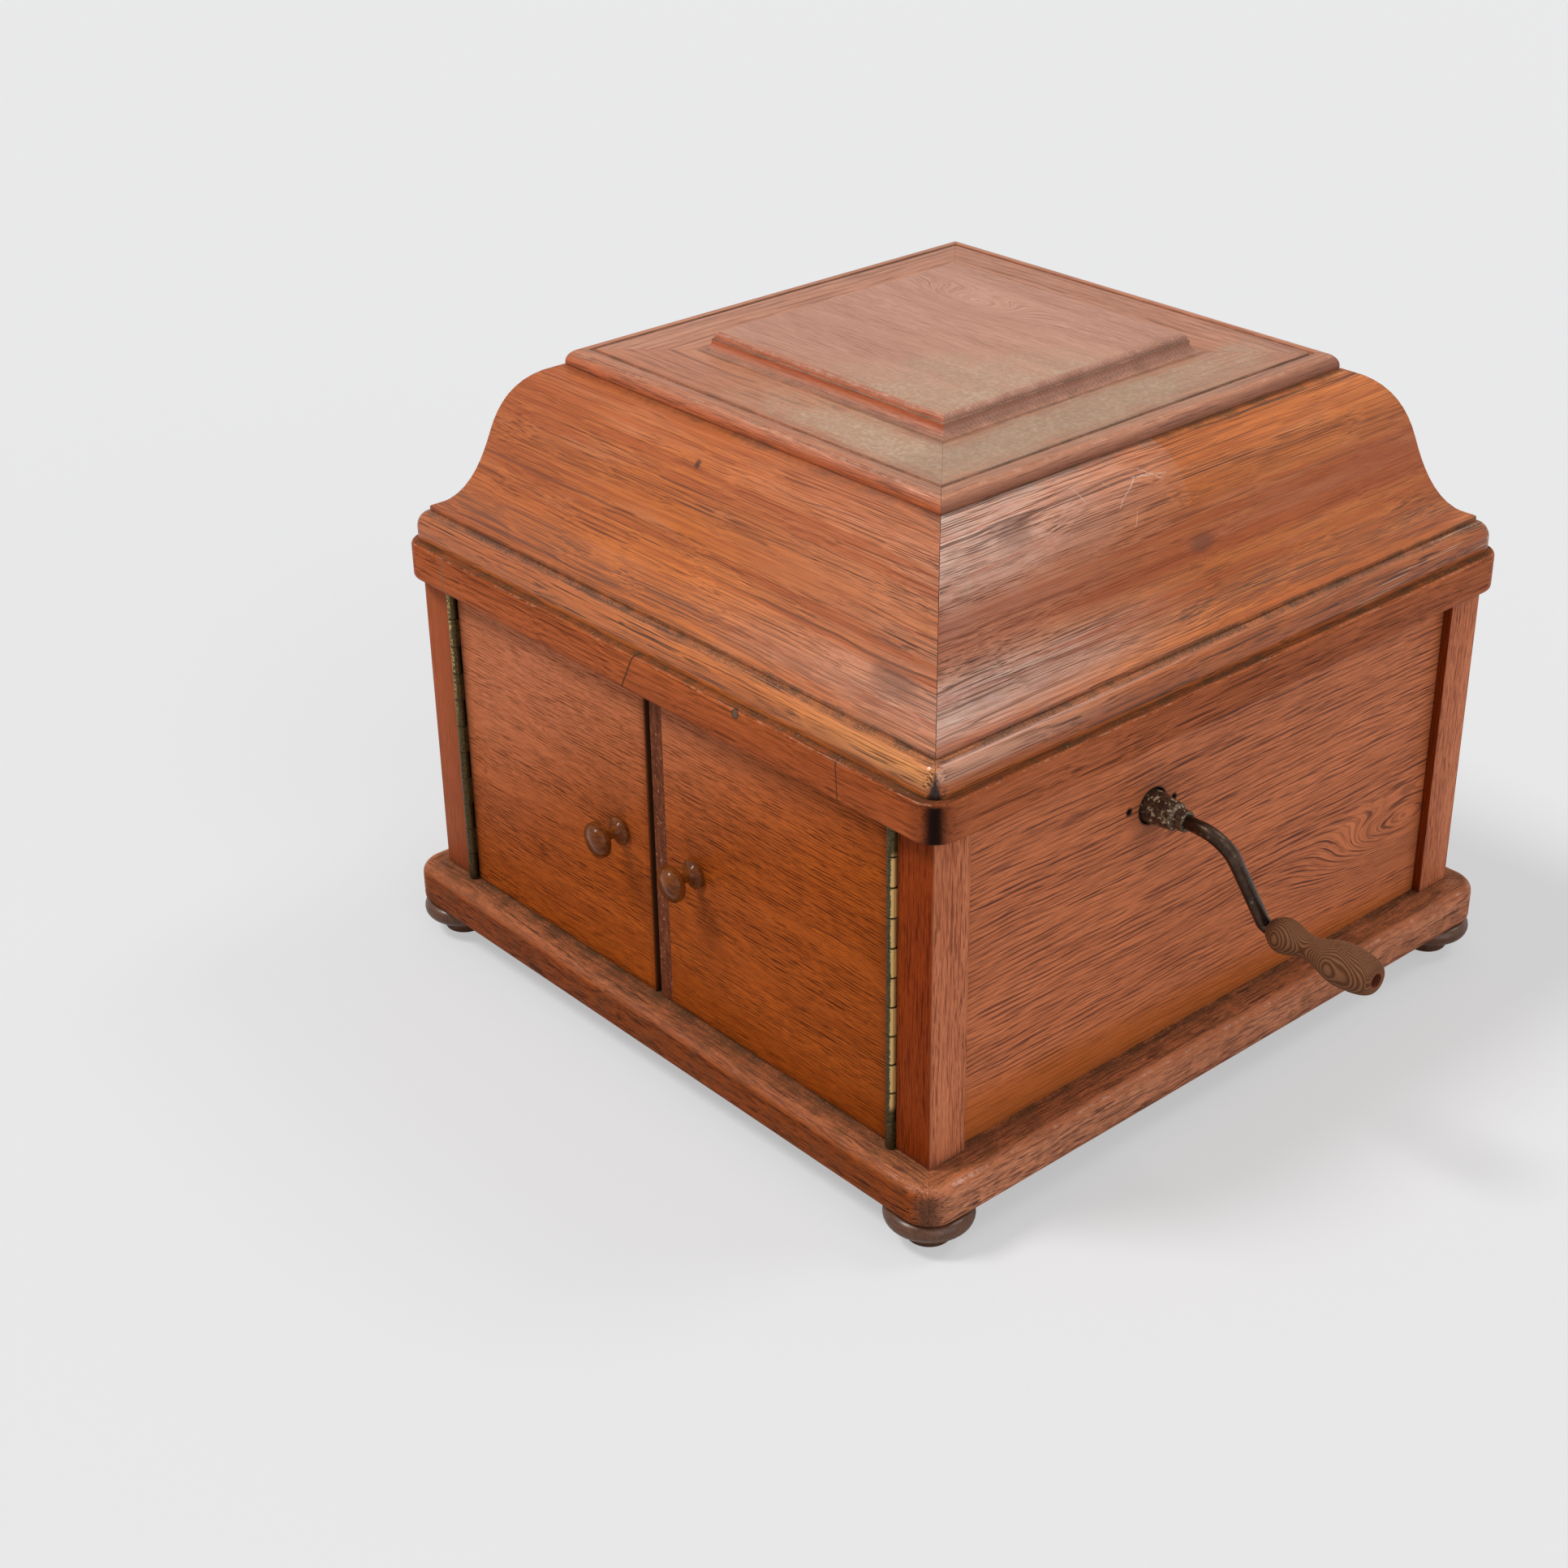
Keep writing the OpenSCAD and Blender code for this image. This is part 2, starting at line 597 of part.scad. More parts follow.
module lid_ogee_boards() place() color(oak) for (i = [0 : 3]) mitred(i) ogee_section();

module lid_tray_frame() place() color(oak) for (i = [0 : 3]) mitred(i) tray_section();

module lid_panel() place() color(oak) intersection() {
  rotate([90, 0, 0]) linear_extrude(2 * body_d, center = true) panel_outline(w);
  rotate([90, 0, 90]) linear_extrude(2 * body_w, center = true) panel_outline(d);
}

// Flat arc about the lid's hinge axis that slides through the motor board
module lid_stay() place() color(steel) {
  translate([stay_x, lid_y, lid_z]) rotate([90, 0, 90]) linear_extrude(2.5, center = true) intersection() {
    difference() {
      circle(r = stay_r + 4, $fn = 128);
      circle(r = stay_r - 4, $fn = 128);
    }
    polygon([[0, 0], 400 * [-cos(4), sin(4)], 400 * [-cos(40), -sin(40)], 400 * [-cos(79), -sin(79)]]);
  }
  box(rim_in - w, stay_x + 1.25, lid_y - stay_r - 12, lid_y - stay_r + 12, zt + 3.5, z_lip - 1.3);
}

// Crank

module winding_shaft() place() color(steel) translate([0, crank_y, crank_z]) {
  difference() {
    union() {
      rod_x(wind_x - 16, socket_x0, arbor_r);
      rod_x(socket_x0 - 6, socket_x1, 7);
    }
    rod_x(socket_x0, socket_x1 + 5, rod_r + fit);
  }
  translate([wind_x - 2.5, 0, 0]) rotate([0, 90, 0]) difference() {
    gear(m_wind, n_wind_pinion, 180 / n_wind_pinion, 5);
    translate([0, 0, -1]) cylinder(r = arbor_r - 0.5, h = 7);
  }
}

module crank_ferrule() place() color(bronze) translate([0, crank_y, crank_z]) rotate([0, 90, 0]) rotate_extrude() polygon([
  [rod_r, w - 9], [8.4, w - 9], [8.2, w - 4], [6.9, w + 9], [6.6, w + 10], [5.2, w + 11], [5.2, w + 16],
  [4.6, w + 16.6], [rod_r, w + 16.6]]);

module crank_arm() place() color(bronze) translate([0, crank_y, crank_z]) rotate([crank_turn, 0, 0]) {
  run = norm([crank_dx, crank_r]) - bend_t1 - bend_t2;
  lap_1 = 0.8;
  lap_2 = 0.4;
  rod_x(socket_x0 + 2, bend_x - bend_t1 + lap_1, rod_r);
  translate([bend_x - bend_t1, 0, -bend_r1]) bend(bend_r1, bent_r, 90 - bend_a, bend_a);
  translate([bend_x + (bend_t1 - lap_1) * cos(bend_a), 0, (lap_1 - bend_t1) * sin(bend_a)])
    rotate([0, 90 + bend_a, 0]) cylinder(r = rod_r, h = run + lap_1 + lap_2);
  translate([bend_x + crank_dx + bend_t2, 0, bend_r2 - crank_r]) bend(bend_r2, bent_r, 270 - bend_a, bend_a);
  translate([0, 0, -crank_r]) rod_x(bend_x + crank_dx + bend_t2 - lap_2, grip_x0 + grip_l - 10, rod_r);
}

// Radius of the turned grip at a share t of its length
function grip_radius(t) =
  t < 0.13 ? 4.9 + (grip_d * 0.415 - 4.9) * sin(90 * t / 0.13)
  : t < 0.36 ? ease(grip_d * 0.415, grip_d * 0.285, (t - 0.13) / 0.23)
  : t < 0.7 ? ease(grip_d * 0.285, grip_d / 2, (t - 0.36) / 0.34)
  : 5.6 + (grip_d / 2 - 5.6) * sqrt(max(0, 1 - pow((t - 0.7) / 0.3, 2.6)));

module crank_grip() place() color(oak_dark) translate([0, crank_y, crank_z]) rotate([crank_turn, 0, 0])
  translate([grip_x0, 0, -crank_r]) rotate([0, 90, 0]) rotate_extrude() polygon(concat(
    [[rod_r + fit, 0]],
    [for (i = [0 : 36]) [grip_radius(i / 36), grip_l * i / 36]],
    [[rod_r + fit, grip_l]]));

// Motor

bolt_at = [for (x = [plate_x0 + 8, plate_x1 - 8], y = [plate_y0 + 8, plate_y1 - 8]) [x, y]];
pillar_at = [for (x = [plate_x0 + 8, plate_x1 - 8], y = [plate_y0 + 24, plate_y1 - 24]) [x, y]];

module plate_holes(z) {
  translate([spindle[0], spindle[1], z - 1]) cylinder(r = spindle_r + fit, h = plate_t + 2);
  translate([barrel[0], barrel[1], z - 1]) cylinder(r = arbor_r + fit, h = plate_t + 2);
  translate([mid[0], mid[1], z - 1]) cylinder(r = mid_r + fit, h = plate_t + 2);
}

module motor_top_plate() place() color(steel) difference() {
  box(plate_x0, plate_x1, plate_y0, plate_y1, z_plate_top, z_plate_top + plate_t);
  plate_holes(z_plate_top);
  for (p = bolt_at) translate([p[0], p[1], z_plate_top - 1]) cylinder(r = 3, h = 6);
}

module motor_bottom_plate() place() color(steel) difference() {
  box(plate_x0, plate_x1, plate_y0, plate_y1, z_plate_low, z_plate_low + plate_t);
  plate_holes(z_plate_low);
}

module motor_pillars() place() color(steel) for (p = pillar_at)
  translate([p[0], p[1], z_plate_low + plate_t]) cylinder(r = 5, h = z_plate_top - z_plate_low - plate_t);

module motor_bolts() place() color(steel) for (p = bolt_at) translate([p[0], p[1], 0]) {
  translate([0, 0, z_plate_top - 6]) cylinder(r = 3, h = zb + 2.5 - z_plate_top + 6);
  translate([0, 0, zb]) cylinder(r = 6, h = 2.5);
  translate([0, 0, z_plate_top - 4]) cylinder(r = 5.8, h = 4, $fn = 6);
}

module motor_spacers() place() color(iron) for (p = bolt_at) translate([p[0], p[1], z_plate_top + plate_t]) difference() {
  cylinder(r = 7, h = z_under - z_plate_top - plate_t);
  translate([0, 0, -1]) cylinder(r = 3, h = z_under);
}

// Two hangers under the top plate that carry the winding shaft
module winding_bracket() place() color(iron) difference() {
  union() {
    box(wind_x - 14, wind_x - 10, crank_y - 9, crank_y + 9, crank_z - 7, z_plate_top);
    box(wind_x + 9, wind_x + 13, crank_y - 9, crank_y + 9, crank_z - 9, z_plate_top);
    box(wind_x - 14, wind_x + 13, crank_y - 9, crank_y + 9, z_plate_top - 3, z_plate_top);
  }
  translate([0, crank_y, crank_z]) rod_x(wind_x - 20, wind_x + 20, arbor_r + fit);
}

// Footed bracket on the bottom plate that carries the governor
module governor_bracket() place() color(iron) difference() {
  union() {
    box(gov_x - 52, gov_x + 7.5, spindle[1] - 7, spindle[1] + 7, z_plate_low + plate_t, z_plate_low + plate_t + 2.5);
    for (x = [gov_x - 52, gov_x + 5])
      box(x, x + 2.5, spindle[1] - 7, spindle[1] + 7, z_plate_low + plate_t, gov_z + 4);
  }
  translate([0, spindle[1], gov_z]) rod_x(gov_x - 60, gov_x + 20, gov_r + fit);
}

module winding_wheel() place() color(brass) translate([barrel[0], barrel[1], 0]) {
  translate([0, 0, z_plate_low - 2]) cylinder(r = arbor_r, h = z_plate_top - z_plate_low + plate_t + 4);
  translate([0, 0, wind_face - 3]) cylinder(r = wind_R + 3, h = 3);
  translate([0, 0, wind_face]) crown_bars(m_wind, n_wind);
}

module spring_barrel() place() color(steel) translate([barrel[0], barrel[1], barrel_z]) difference() {
  union() {
    gear(m_great, n_great, a_great, 3);
    translate([0, 0, 3]) cylinder(r = 34, h = 22);
  }
  translate([0, 0, 3]) cylinder(r = 32.4, h = 30);
  translate([0, 0, -1]) cylinder(r = arbor_r + fit, h = 10);
}

module barrel_cap() place() color(steel) translate([barrel[0], barrel[1], barrel_z + 25]) difference() {
  cylinder(r = 34, h = 1.5);
  translate([0, 0, -1]) cylinder(r = arbor_r + fit, h = 4);
}

// Coiled strip whose outer end meets the barrel's wall
module mainspring() place() color(iron) translate([barrel[0], barrel[1], barrel_z + 3]) {
  turns = 6;
  steps = 24 * turns;
  spiral = [for (i = [0 : steps]) [i / steps, 360 * turns * i / steps]];
  linear_extrude(20) polygon(concat(
    [for (q = spiral) (6 + 26.3 * q[0]) * [cos(q[1]), sin(q[1])]],
    [for (j = [0 : steps]) let (q = spiral[steps - j]) (5 + 26.3 * q[0]) * [cos(q[1]), sin(q[1])]]));
}

module intermediate_arbor() place() color(brass) translate([mid[0], mid[1], 0]) {
  translate([0, 0, z_plate_low - 2]) cylinder(r = mid_r, h = z_plate_top - z_plate_low + plate_t + 4);
  translate([0, 0, barrel_z - 0.8]) gear(m_great, n_mid_pinion, a_great + 180 + 180 / n_mid_pinion, 5);
  translate([0, 0, z_plate_top - 14]) gear(m_mid, n_mid, a_mid, 3.5);
}

module turntable_spindle() place() color(steel) translate([spindle[0], spindle[1], 0]) {
  translate([0, 0, z_plate_low - 3]) cylinder(r = spindle_r, h = z_table - z_plate_low + 3);
  translate([0, 0, z_plate_low + plate_t + 0.3]) cylinder(r = 8, h = 4);
  translate([0, 0, z_plate_top - 16]) gear(m_mid, n_spindle, a_mid + 180 + 180 / n_spindle, 10);
  translate([0, 0, gov_face]) cylinder(r = gov_R + 3, h = 2.5);
  translate([0, 0, gov_face]) mirror([0, 0, 1]) crown_bars(m_gov, n_gov);
  translate([0, 0, zb + 1.5]) cylinder(r = 8, h = 3.5);
  translate([0, 0, z_table]) cylinder(r = pin_d / 2, h = 11);
  translate([0, 0, z_table + 11]) cylinder(r1 = pin_d / 2, r2 = 2, h = 1.8);
}

module turntable() place() color(steel) translate([spindle[0], spindle[1], 0]) rotate_extrude($fn = 128) polygon([
  [spindle_r, zb + 5], [15, zb + 5], [17, z_table - 2.5], [table_r - 2.5, z_table - 2.5], [table_r - 2.5, zb + 4.5],
  [table_r, zb + 4.5], [table_r, z_table - 1], [table_r - 1, z_table], [spindle_r, z_table]]);

module turntable_mat() place() color("#5a2f2a") translate([spindle[0], spindle[1], z_table]) difference() {
  cylinder(r = table_r - 1.5, h = 1.5, $fn = 128);
  translate([0, 0, -1]) cylinder(r = 7, h = 4);
}

module governor_shaft() place() color(brass) translate([0, spindle[1], gov_z]) {
  rod_x(gov_x - 54, gov_x + 9, gov_r);
  translate([gov_x - 3, 0, 0]) rotate([0, 90, 0]) gear(m_gov, n_gov_pinion, 180 / n_gov_pinion, 6);
  rod_x(gov_x - 17, gov_x - 11, 8);
  rod_x(gov_x - 41, gov_x - 35, 8);
  rod_x(gov_x - 46, gov_x - 44, 15);
}

// Three flat springs, each with a weight at its middle
module governor_springs() place() color(iron) translate([0, spindle[1], gov_z]) for (i = [0 : 2]) rotate([120 * i, 0, 0]) {
  box(gov_x - 41, gov_x - 11, -2.5, 2.5, 8, 8.6);
  translate([gov_x - 26, 0, 8]) cylinder(r = 5, h = 8);
}

// Tone arm

module tonearm_base() place() color(iron) translate([arm_at[0], arm_at[1], zb]) difference() {
  union() {
    cylinder(r = 26, h = 4);
    cylinder(r = base_r, h = 12);
  }
  translate([0, 0, -1]) cylinder(r = throat_r, h = 20);
}

module at_arm() translate([arm_at[0], arm_at[1], 0]) rotate([0, 0, arm_park]) children();

module tonearm_tube() place() color(steel) at_arm() difference() {
  union() {
    translate([0, 0, zb + 5]) cylinder(r = base_r + 2.5, h = 41);
    translate([0, 0, arm_z]) sphere(r = base_r + 2.5);
    translate([0, 0, arm_z]) rotate([90, 0, 0]) cylinder(r1 = 13, r2 = 8.5, h = arm_l);
    translate([0, 0, arm_z]) rotate([90, 0, 0]) cylinder(r = 8, h = arm_l + 14);
  }
  translate([0, 0, zb]) cylinder(r = base_r + fit, h = 12.4);
  translate([0, 0, zb]) cylinder(r = throat_r - 1, h = 46);
  translate([0, 0, arm_z]) rotate([90, 0, 0]) cylinder(r1 = 11, r2 = 6.5, h = arm_l);
  translate([0, 0, arm_z]) rotate([90, 0, 0]) cylinder(r = 6, h = arm_l + 20);
}

module gooseneck() place() color(steel) at_arm() translate([0, 0, arm_z]) difference() {
  union() {
    translate([0, -arm_l - 0.4, 0]) rotate([90, 0, 0]) cylinder(r = 10, h = 19.6);
    translate([0, box_y, 0]) sphere(r = 10);
    translate([0, box_y, 0]) rod_x(-12, 0, 8);
  }
  translate([0, -arm_l, 0]) rotate([90, 0, 0]) cylinder(r = 8 + fit, h = 14.6);
  translate([0, -arm_l, 0]) rotate([90, 0, 0]) cylinder(r = 5, h = 20);
  translate([0, box_y, 0]) rod_x(-13, 0, 5);
}

module sound_box() place() color(steel) at_arm() translate([0, box_y, arm_z]) difference() {
  rod_x(-26, -12, box_r);
  rod_x(-27, -15, box_r - 3);
  rod_x(-30, 0, 5);
}

module diaphragm() place() color("#d8cfae") at_arm() translate([0, box_y, arm_z]) rod_x(-22, -21.4, box_r - 3);

// Stylus bar from the needle to the middle of the diaphragm
module needle_bar() place() color(steel) at_arm() translate([0, box_y, arm_z]) {
  rod_x(-26.2, -22, 1);
  box(-27.6, -26.2, -1.3, 1.3, -box_r - 3, 1.5);
  box(-27.6, -18, -2, 2, -box_r - 3, -box_r);
  translate([-20, 0, -box_r - 7]) cylinder(r = 2, h = 4);
  translate([-20, 0, -box_r - 9.5]) cylinder(r1 = 0.2, r2 = 0.8, h = 2.5);
}

// Small fittings on the motor board

module needle_cups() place() color(brass) for (p = cup_at) translate([p[0], p[1], zb]) difference() {
  union() {
    translate([0, 0, -10]) cylinder(r = cup_r, h = 10);
    cylinder(r = cup_r + 3, h = 1.5);
  }
  translate([0, 0, -8.8]) cylinder(r = cup_r - 1.5, h = 20);
}

module brake_lever() place() color(steel) translate([brake_at[0], brake_at[1], zb]) rotate([0, 0, brake_a]) {
  translate([0, 0, -8]) cylinder(r = 3, h = 13);
  translate([0, 0, 0.3]) cylinder(r = 7, h = 6.5);
  box(0, brake_l, -3, 3, 3, 5.5);
  box(-18, 0, -2.5, 2.5, 3, 5.5);
  translate([brake_l, 0, 3]) cylinder(r = 4, h = 6.5);
}

module speed_dial() place() color(iron) translate([dial_at[0], dial_at[1], zb]) {
  translate([0, 0, -8]) cylinder(r = 3, h = 10);
  difference() {
    translate([0, 0, 0.3]) cylinder(r = 12, h = 8);
    box(-0.8, 0.8, 2, 13, 7.3, 9);
  }
}

feet();
plinth_rails();
base_board();
corner_posts();
side_panel_left();
side_panel_right();
back_panel();
rim_rails();
baffle_board();
horn_roof();
horn_sides();
throat_elbow();
motor_board();
board_cleats();
door_hinge_post_leaves();
hinge_pins();
lid_hinge_lower();
motor_top_plate();
motor_bottom_plate();
motor_pillars();
motor_bolts();
motor_spacers();
winding_bracket();
governor_bracket();
tonearm_base();
needle_cups();
door_left();
door_left_knob();
door_left_hinge();
door_right();
door_right_knob();
door_right_hinge();
door_scraped_strip();
lid_base_frame();
lid_ogee_boards();
lid_tray_frame();
lid_panel();
lid_hinge_upper();
lid_stay();
winding_shaft();
crank_ferrule();
crank_arm();
crank_grip();
winding_wheel();
spring_barrel();
barrel_cap();
mainspring();
intermediate_arbor();
turntable_spindle();
turntable();
turntable_mat();
governor_shaft();
governor_springs();
tonearm_tube();
gooseneck();
sound_box();
diaphragm();
needle_bar();
brake_lever();
speed_dial();
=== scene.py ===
import math

import bmesh
import bpy
from mathutils import Matrix, Vector


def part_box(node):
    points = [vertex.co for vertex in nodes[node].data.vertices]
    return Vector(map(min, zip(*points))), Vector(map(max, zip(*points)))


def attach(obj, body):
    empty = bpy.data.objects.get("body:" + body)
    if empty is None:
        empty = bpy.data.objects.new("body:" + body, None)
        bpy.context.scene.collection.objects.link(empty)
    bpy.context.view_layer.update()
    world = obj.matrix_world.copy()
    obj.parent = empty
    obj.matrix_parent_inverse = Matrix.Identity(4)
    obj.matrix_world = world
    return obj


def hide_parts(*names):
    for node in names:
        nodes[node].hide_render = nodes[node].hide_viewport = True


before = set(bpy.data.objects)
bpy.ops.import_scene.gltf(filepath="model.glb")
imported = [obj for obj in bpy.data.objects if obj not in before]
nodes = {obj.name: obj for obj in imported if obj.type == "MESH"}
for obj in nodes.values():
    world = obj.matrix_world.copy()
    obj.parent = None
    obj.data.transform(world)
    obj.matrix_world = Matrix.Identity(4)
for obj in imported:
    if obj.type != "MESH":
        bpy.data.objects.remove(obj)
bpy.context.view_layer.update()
scene = bpy.context.scene

# The cabinet's middle in the part's frame, and how many millimetres a metre has
MID_X, MM = -45.85, 1000
# Half the width and depth over the posts, then the tops of plinth, posts, rim and the lid's parts
W, D = 190.25, 192.15
Z_PLINTH, Z_RIM, Z_TOP = 40.4, 212.4, 232.8
Z_LIP, Z_OGEE, Z_BEAD, Z_TRAY, Z_PANEL = 248.3, 250.6, 326.8, 335.0, 344.8
# How far plinth and rim stand out from the posts
PLINTH_OUT, RIM_OUT = 15.0, 7.5
DOOR_Y = -190.95
HINGE_X, HINGE_Y = 165.25, -192.9
KNOB_L, KNOB_R, KNOB_Z = -32.2, 25.4, 124.9
CRANK_Y, CRANK_Z = -46.3, 172.9


# Node helpers


class Shade:
    """One material. The helpers add nodes and hand back their output sockets."""

    def __init__(self, name, **fixed):
        self.mat = bpy.data.materials.new(name)
        self.mat.use_nodes = True
        self.tree = self.mat.node_tree
        self.tree.nodes.clear()
        out, self.bsdf, place = new_nodes(self.tree, "OutputMaterial", "BsdfPrincipled", "TexCoord")
        self.tree.links.new(self.bsdf.outputs[0], out.inputs[0])
        for key, value in fixed.items():
            self.bsdf.inputs[key.replace("_", " ")].default_value = value
        self.pos = self.vmath("MULTIPLY_ADD", place.outputs["Object"], (MM, MM, MM), (-MID_X, 0, 0))
        self.x, self.y, self.z = self.split(self.pos)
        self.nx, self.ny, self.nz = self.split(place.outputs["Normal"])

    def put(self, socket, value):
        if isinstance(value, bpy.types.NodeSocket):
            self.tree.links.new(value, socket)
        else:
            socket.default_value = value

    def f(self, op, a, b=0.0, c=0.0):
        n = self.tree.nodes.new("ShaderNodeMath")
        n.operation = op
        for i, v in enumerate((a, b, c)):
            self.put(n.inputs[i], v)
        return n.outputs[0]

    def add(self, a, b, *more):
        out = self.f("ADD", a, b)
        for m in more:
            out = self.f("ADD", out, m)
        return out

    def sub(self, a, b):
        return self.f("SUBTRACT", a, b)

    def mul(self, a, b, *more):
        out = self.f("MULTIPLY", a, b)
        for m in more:
            out = self.f("MULTIPLY", out, m)
        return out

    def least(self, a, b):
        return self.f("MINIMUM", a, b)

    def most(self, a, b):
        return self.f("MAXIMUM", a, b)

    def absol(self, a):
        return self.f("ABSOLUTE", a)

    def inv(self, a):
        return self.f("SUBTRACT", 1.0, a)

    def unit(self, a):
        return self.least(self.most(a, 0.0), 1.0)

    def about(self, noise, amount):
        """A noise value moved to lie about zero, times amount."""
        return self.mul(self.sub(noise, 0.5), amount)

    def radius(self, a, b):
        return self.f("SQRT", self.add(self.mul(a, a), self.mul(b, b)))

    def lerp(self, t, a, b):
        n = self.tree.nodes.new("ShaderNodeMix")
        n.data_type = "FLOAT"
        self.put(n.inputs[0], t)
        self.put(n.inputs[2], a)
        self.put(n.inputs[3], b)
        return n.outputs[0]

    def step(self, v, lo, hi):
        """Smooth rise from 0 at lo to 1 at hi, or a fall where lo is above hi."""
        if lo > hi:
            return self.inv(self.step(v, hi, lo))
        n = self.tree.nodes.new("ShaderNodeMapRange")
        n.interpolation_type = "SMOOTHSTEP"
        self.put(n.inputs[0], v)
        n.inputs[1].default_value, n.inputs[2].default_value = lo, hi
        return n.outputs[0]

    def band(self, v, mid, half, soft):
        """1 within half of mid, fading over soft."""
        return self.step(self.absol(self.sub(v, mid)), half + soft, half)

    def vmath(self, op, *values):
        n = self.tree.nodes.new("ShaderNodeVectorMath")
        n.operation = op
        for i, v in enumerate(values):
            self.put(n.inputs[i], v)
        return n.outputs[0]

    def split(self, v):
        n = self.tree.nodes.new("ShaderNodeSeparateXYZ")
        self.put(n.inputs[0], v)
        return n.outputs[0], n.outputs[1], n.outputs[2]

    def vec(self, x, y, z):
        n = self.tree.nodes.new("ShaderNodeCombineXYZ")
        for i, v in enumerate((x, y, z)):
            self.put(n.inputs[i], v)
        return n.outputs[0]

    def noise(self, v, scale=1.0, detail=2.0, rough=0.5):
        n = self.tree.nodes.new("ShaderNodeTexNoise")
        self.put(n.inputs["Vector"], v)
        n.inputs["Scale"].default_value = scale
        n.inputs["Detail"].default_value = detail
        n.inputs["Roughness"].default_value = rough
        return n.outputs[0]

    def drawn(self, parts, lengths, detail=2.0, rough=0.5):
        """Noise over three values, with a length of its own along each."""
        scaled = [self.mul(part, 1 / length) for part, length in zip(parts, lengths)]
        return self.noise(self.vec(*scaled), 1.0, detail, rough)

    def mix(self, t, a, b):
        n = self.tree.nodes.new("ShaderNodeMix")
        n.data_type = "RGBA"
        self.put(n.inputs[0], t)
        self.put(n.inputs[6], a if isinstance(a, bpy.types.NodeSocket) else (*a, 1))
        self.put(n.inputs[7], b if isinstance(b, bpy.types.NodeSocket) else (*b, 1))
        return n.outputs[2]

    def value(self, attribute):
        """A value that the piece's own mesh carries."""
        n = self.tree.nodes.new("ShaderNodeAttribute")
        n.attribute_name = attribute
        return n.outputs["Fac"]

    def relief(self, height, strength, distance):
        """Bump from a height socket; distance is in metres."""
        n = self.tree.nodes.new("ShaderNodeBump")
        n.inputs["Strength"].default_value = strength
        n.inputs["Distance"].default_value = distance
        self.put(n.inputs["Height"], height)
        self.put(self.bsdf.inputs["Normal"], n.outputs[0])

    def done(self, color, rough):
        self.put(self.bsdf.inputs["Base Color"], color)
        self.put(self.bsdf.inputs["Roughness"], rough)
        return self.mat


def new_nodes(tree, *kinds):
    return [tree.nodes.new("ShaderNode" + kind) for kind in kinds]


# Oak

GRIME_AND_SHADE = (0.100, 0.054, 0.027)
CRUMB = (0.36, 0.25, 0.13)
DUST, PALE_DUST = (0.40, 0.265, 0.170), (0.50, 0.365, 0.255)
PLAIN = (1.0, 1.0, 1.0)


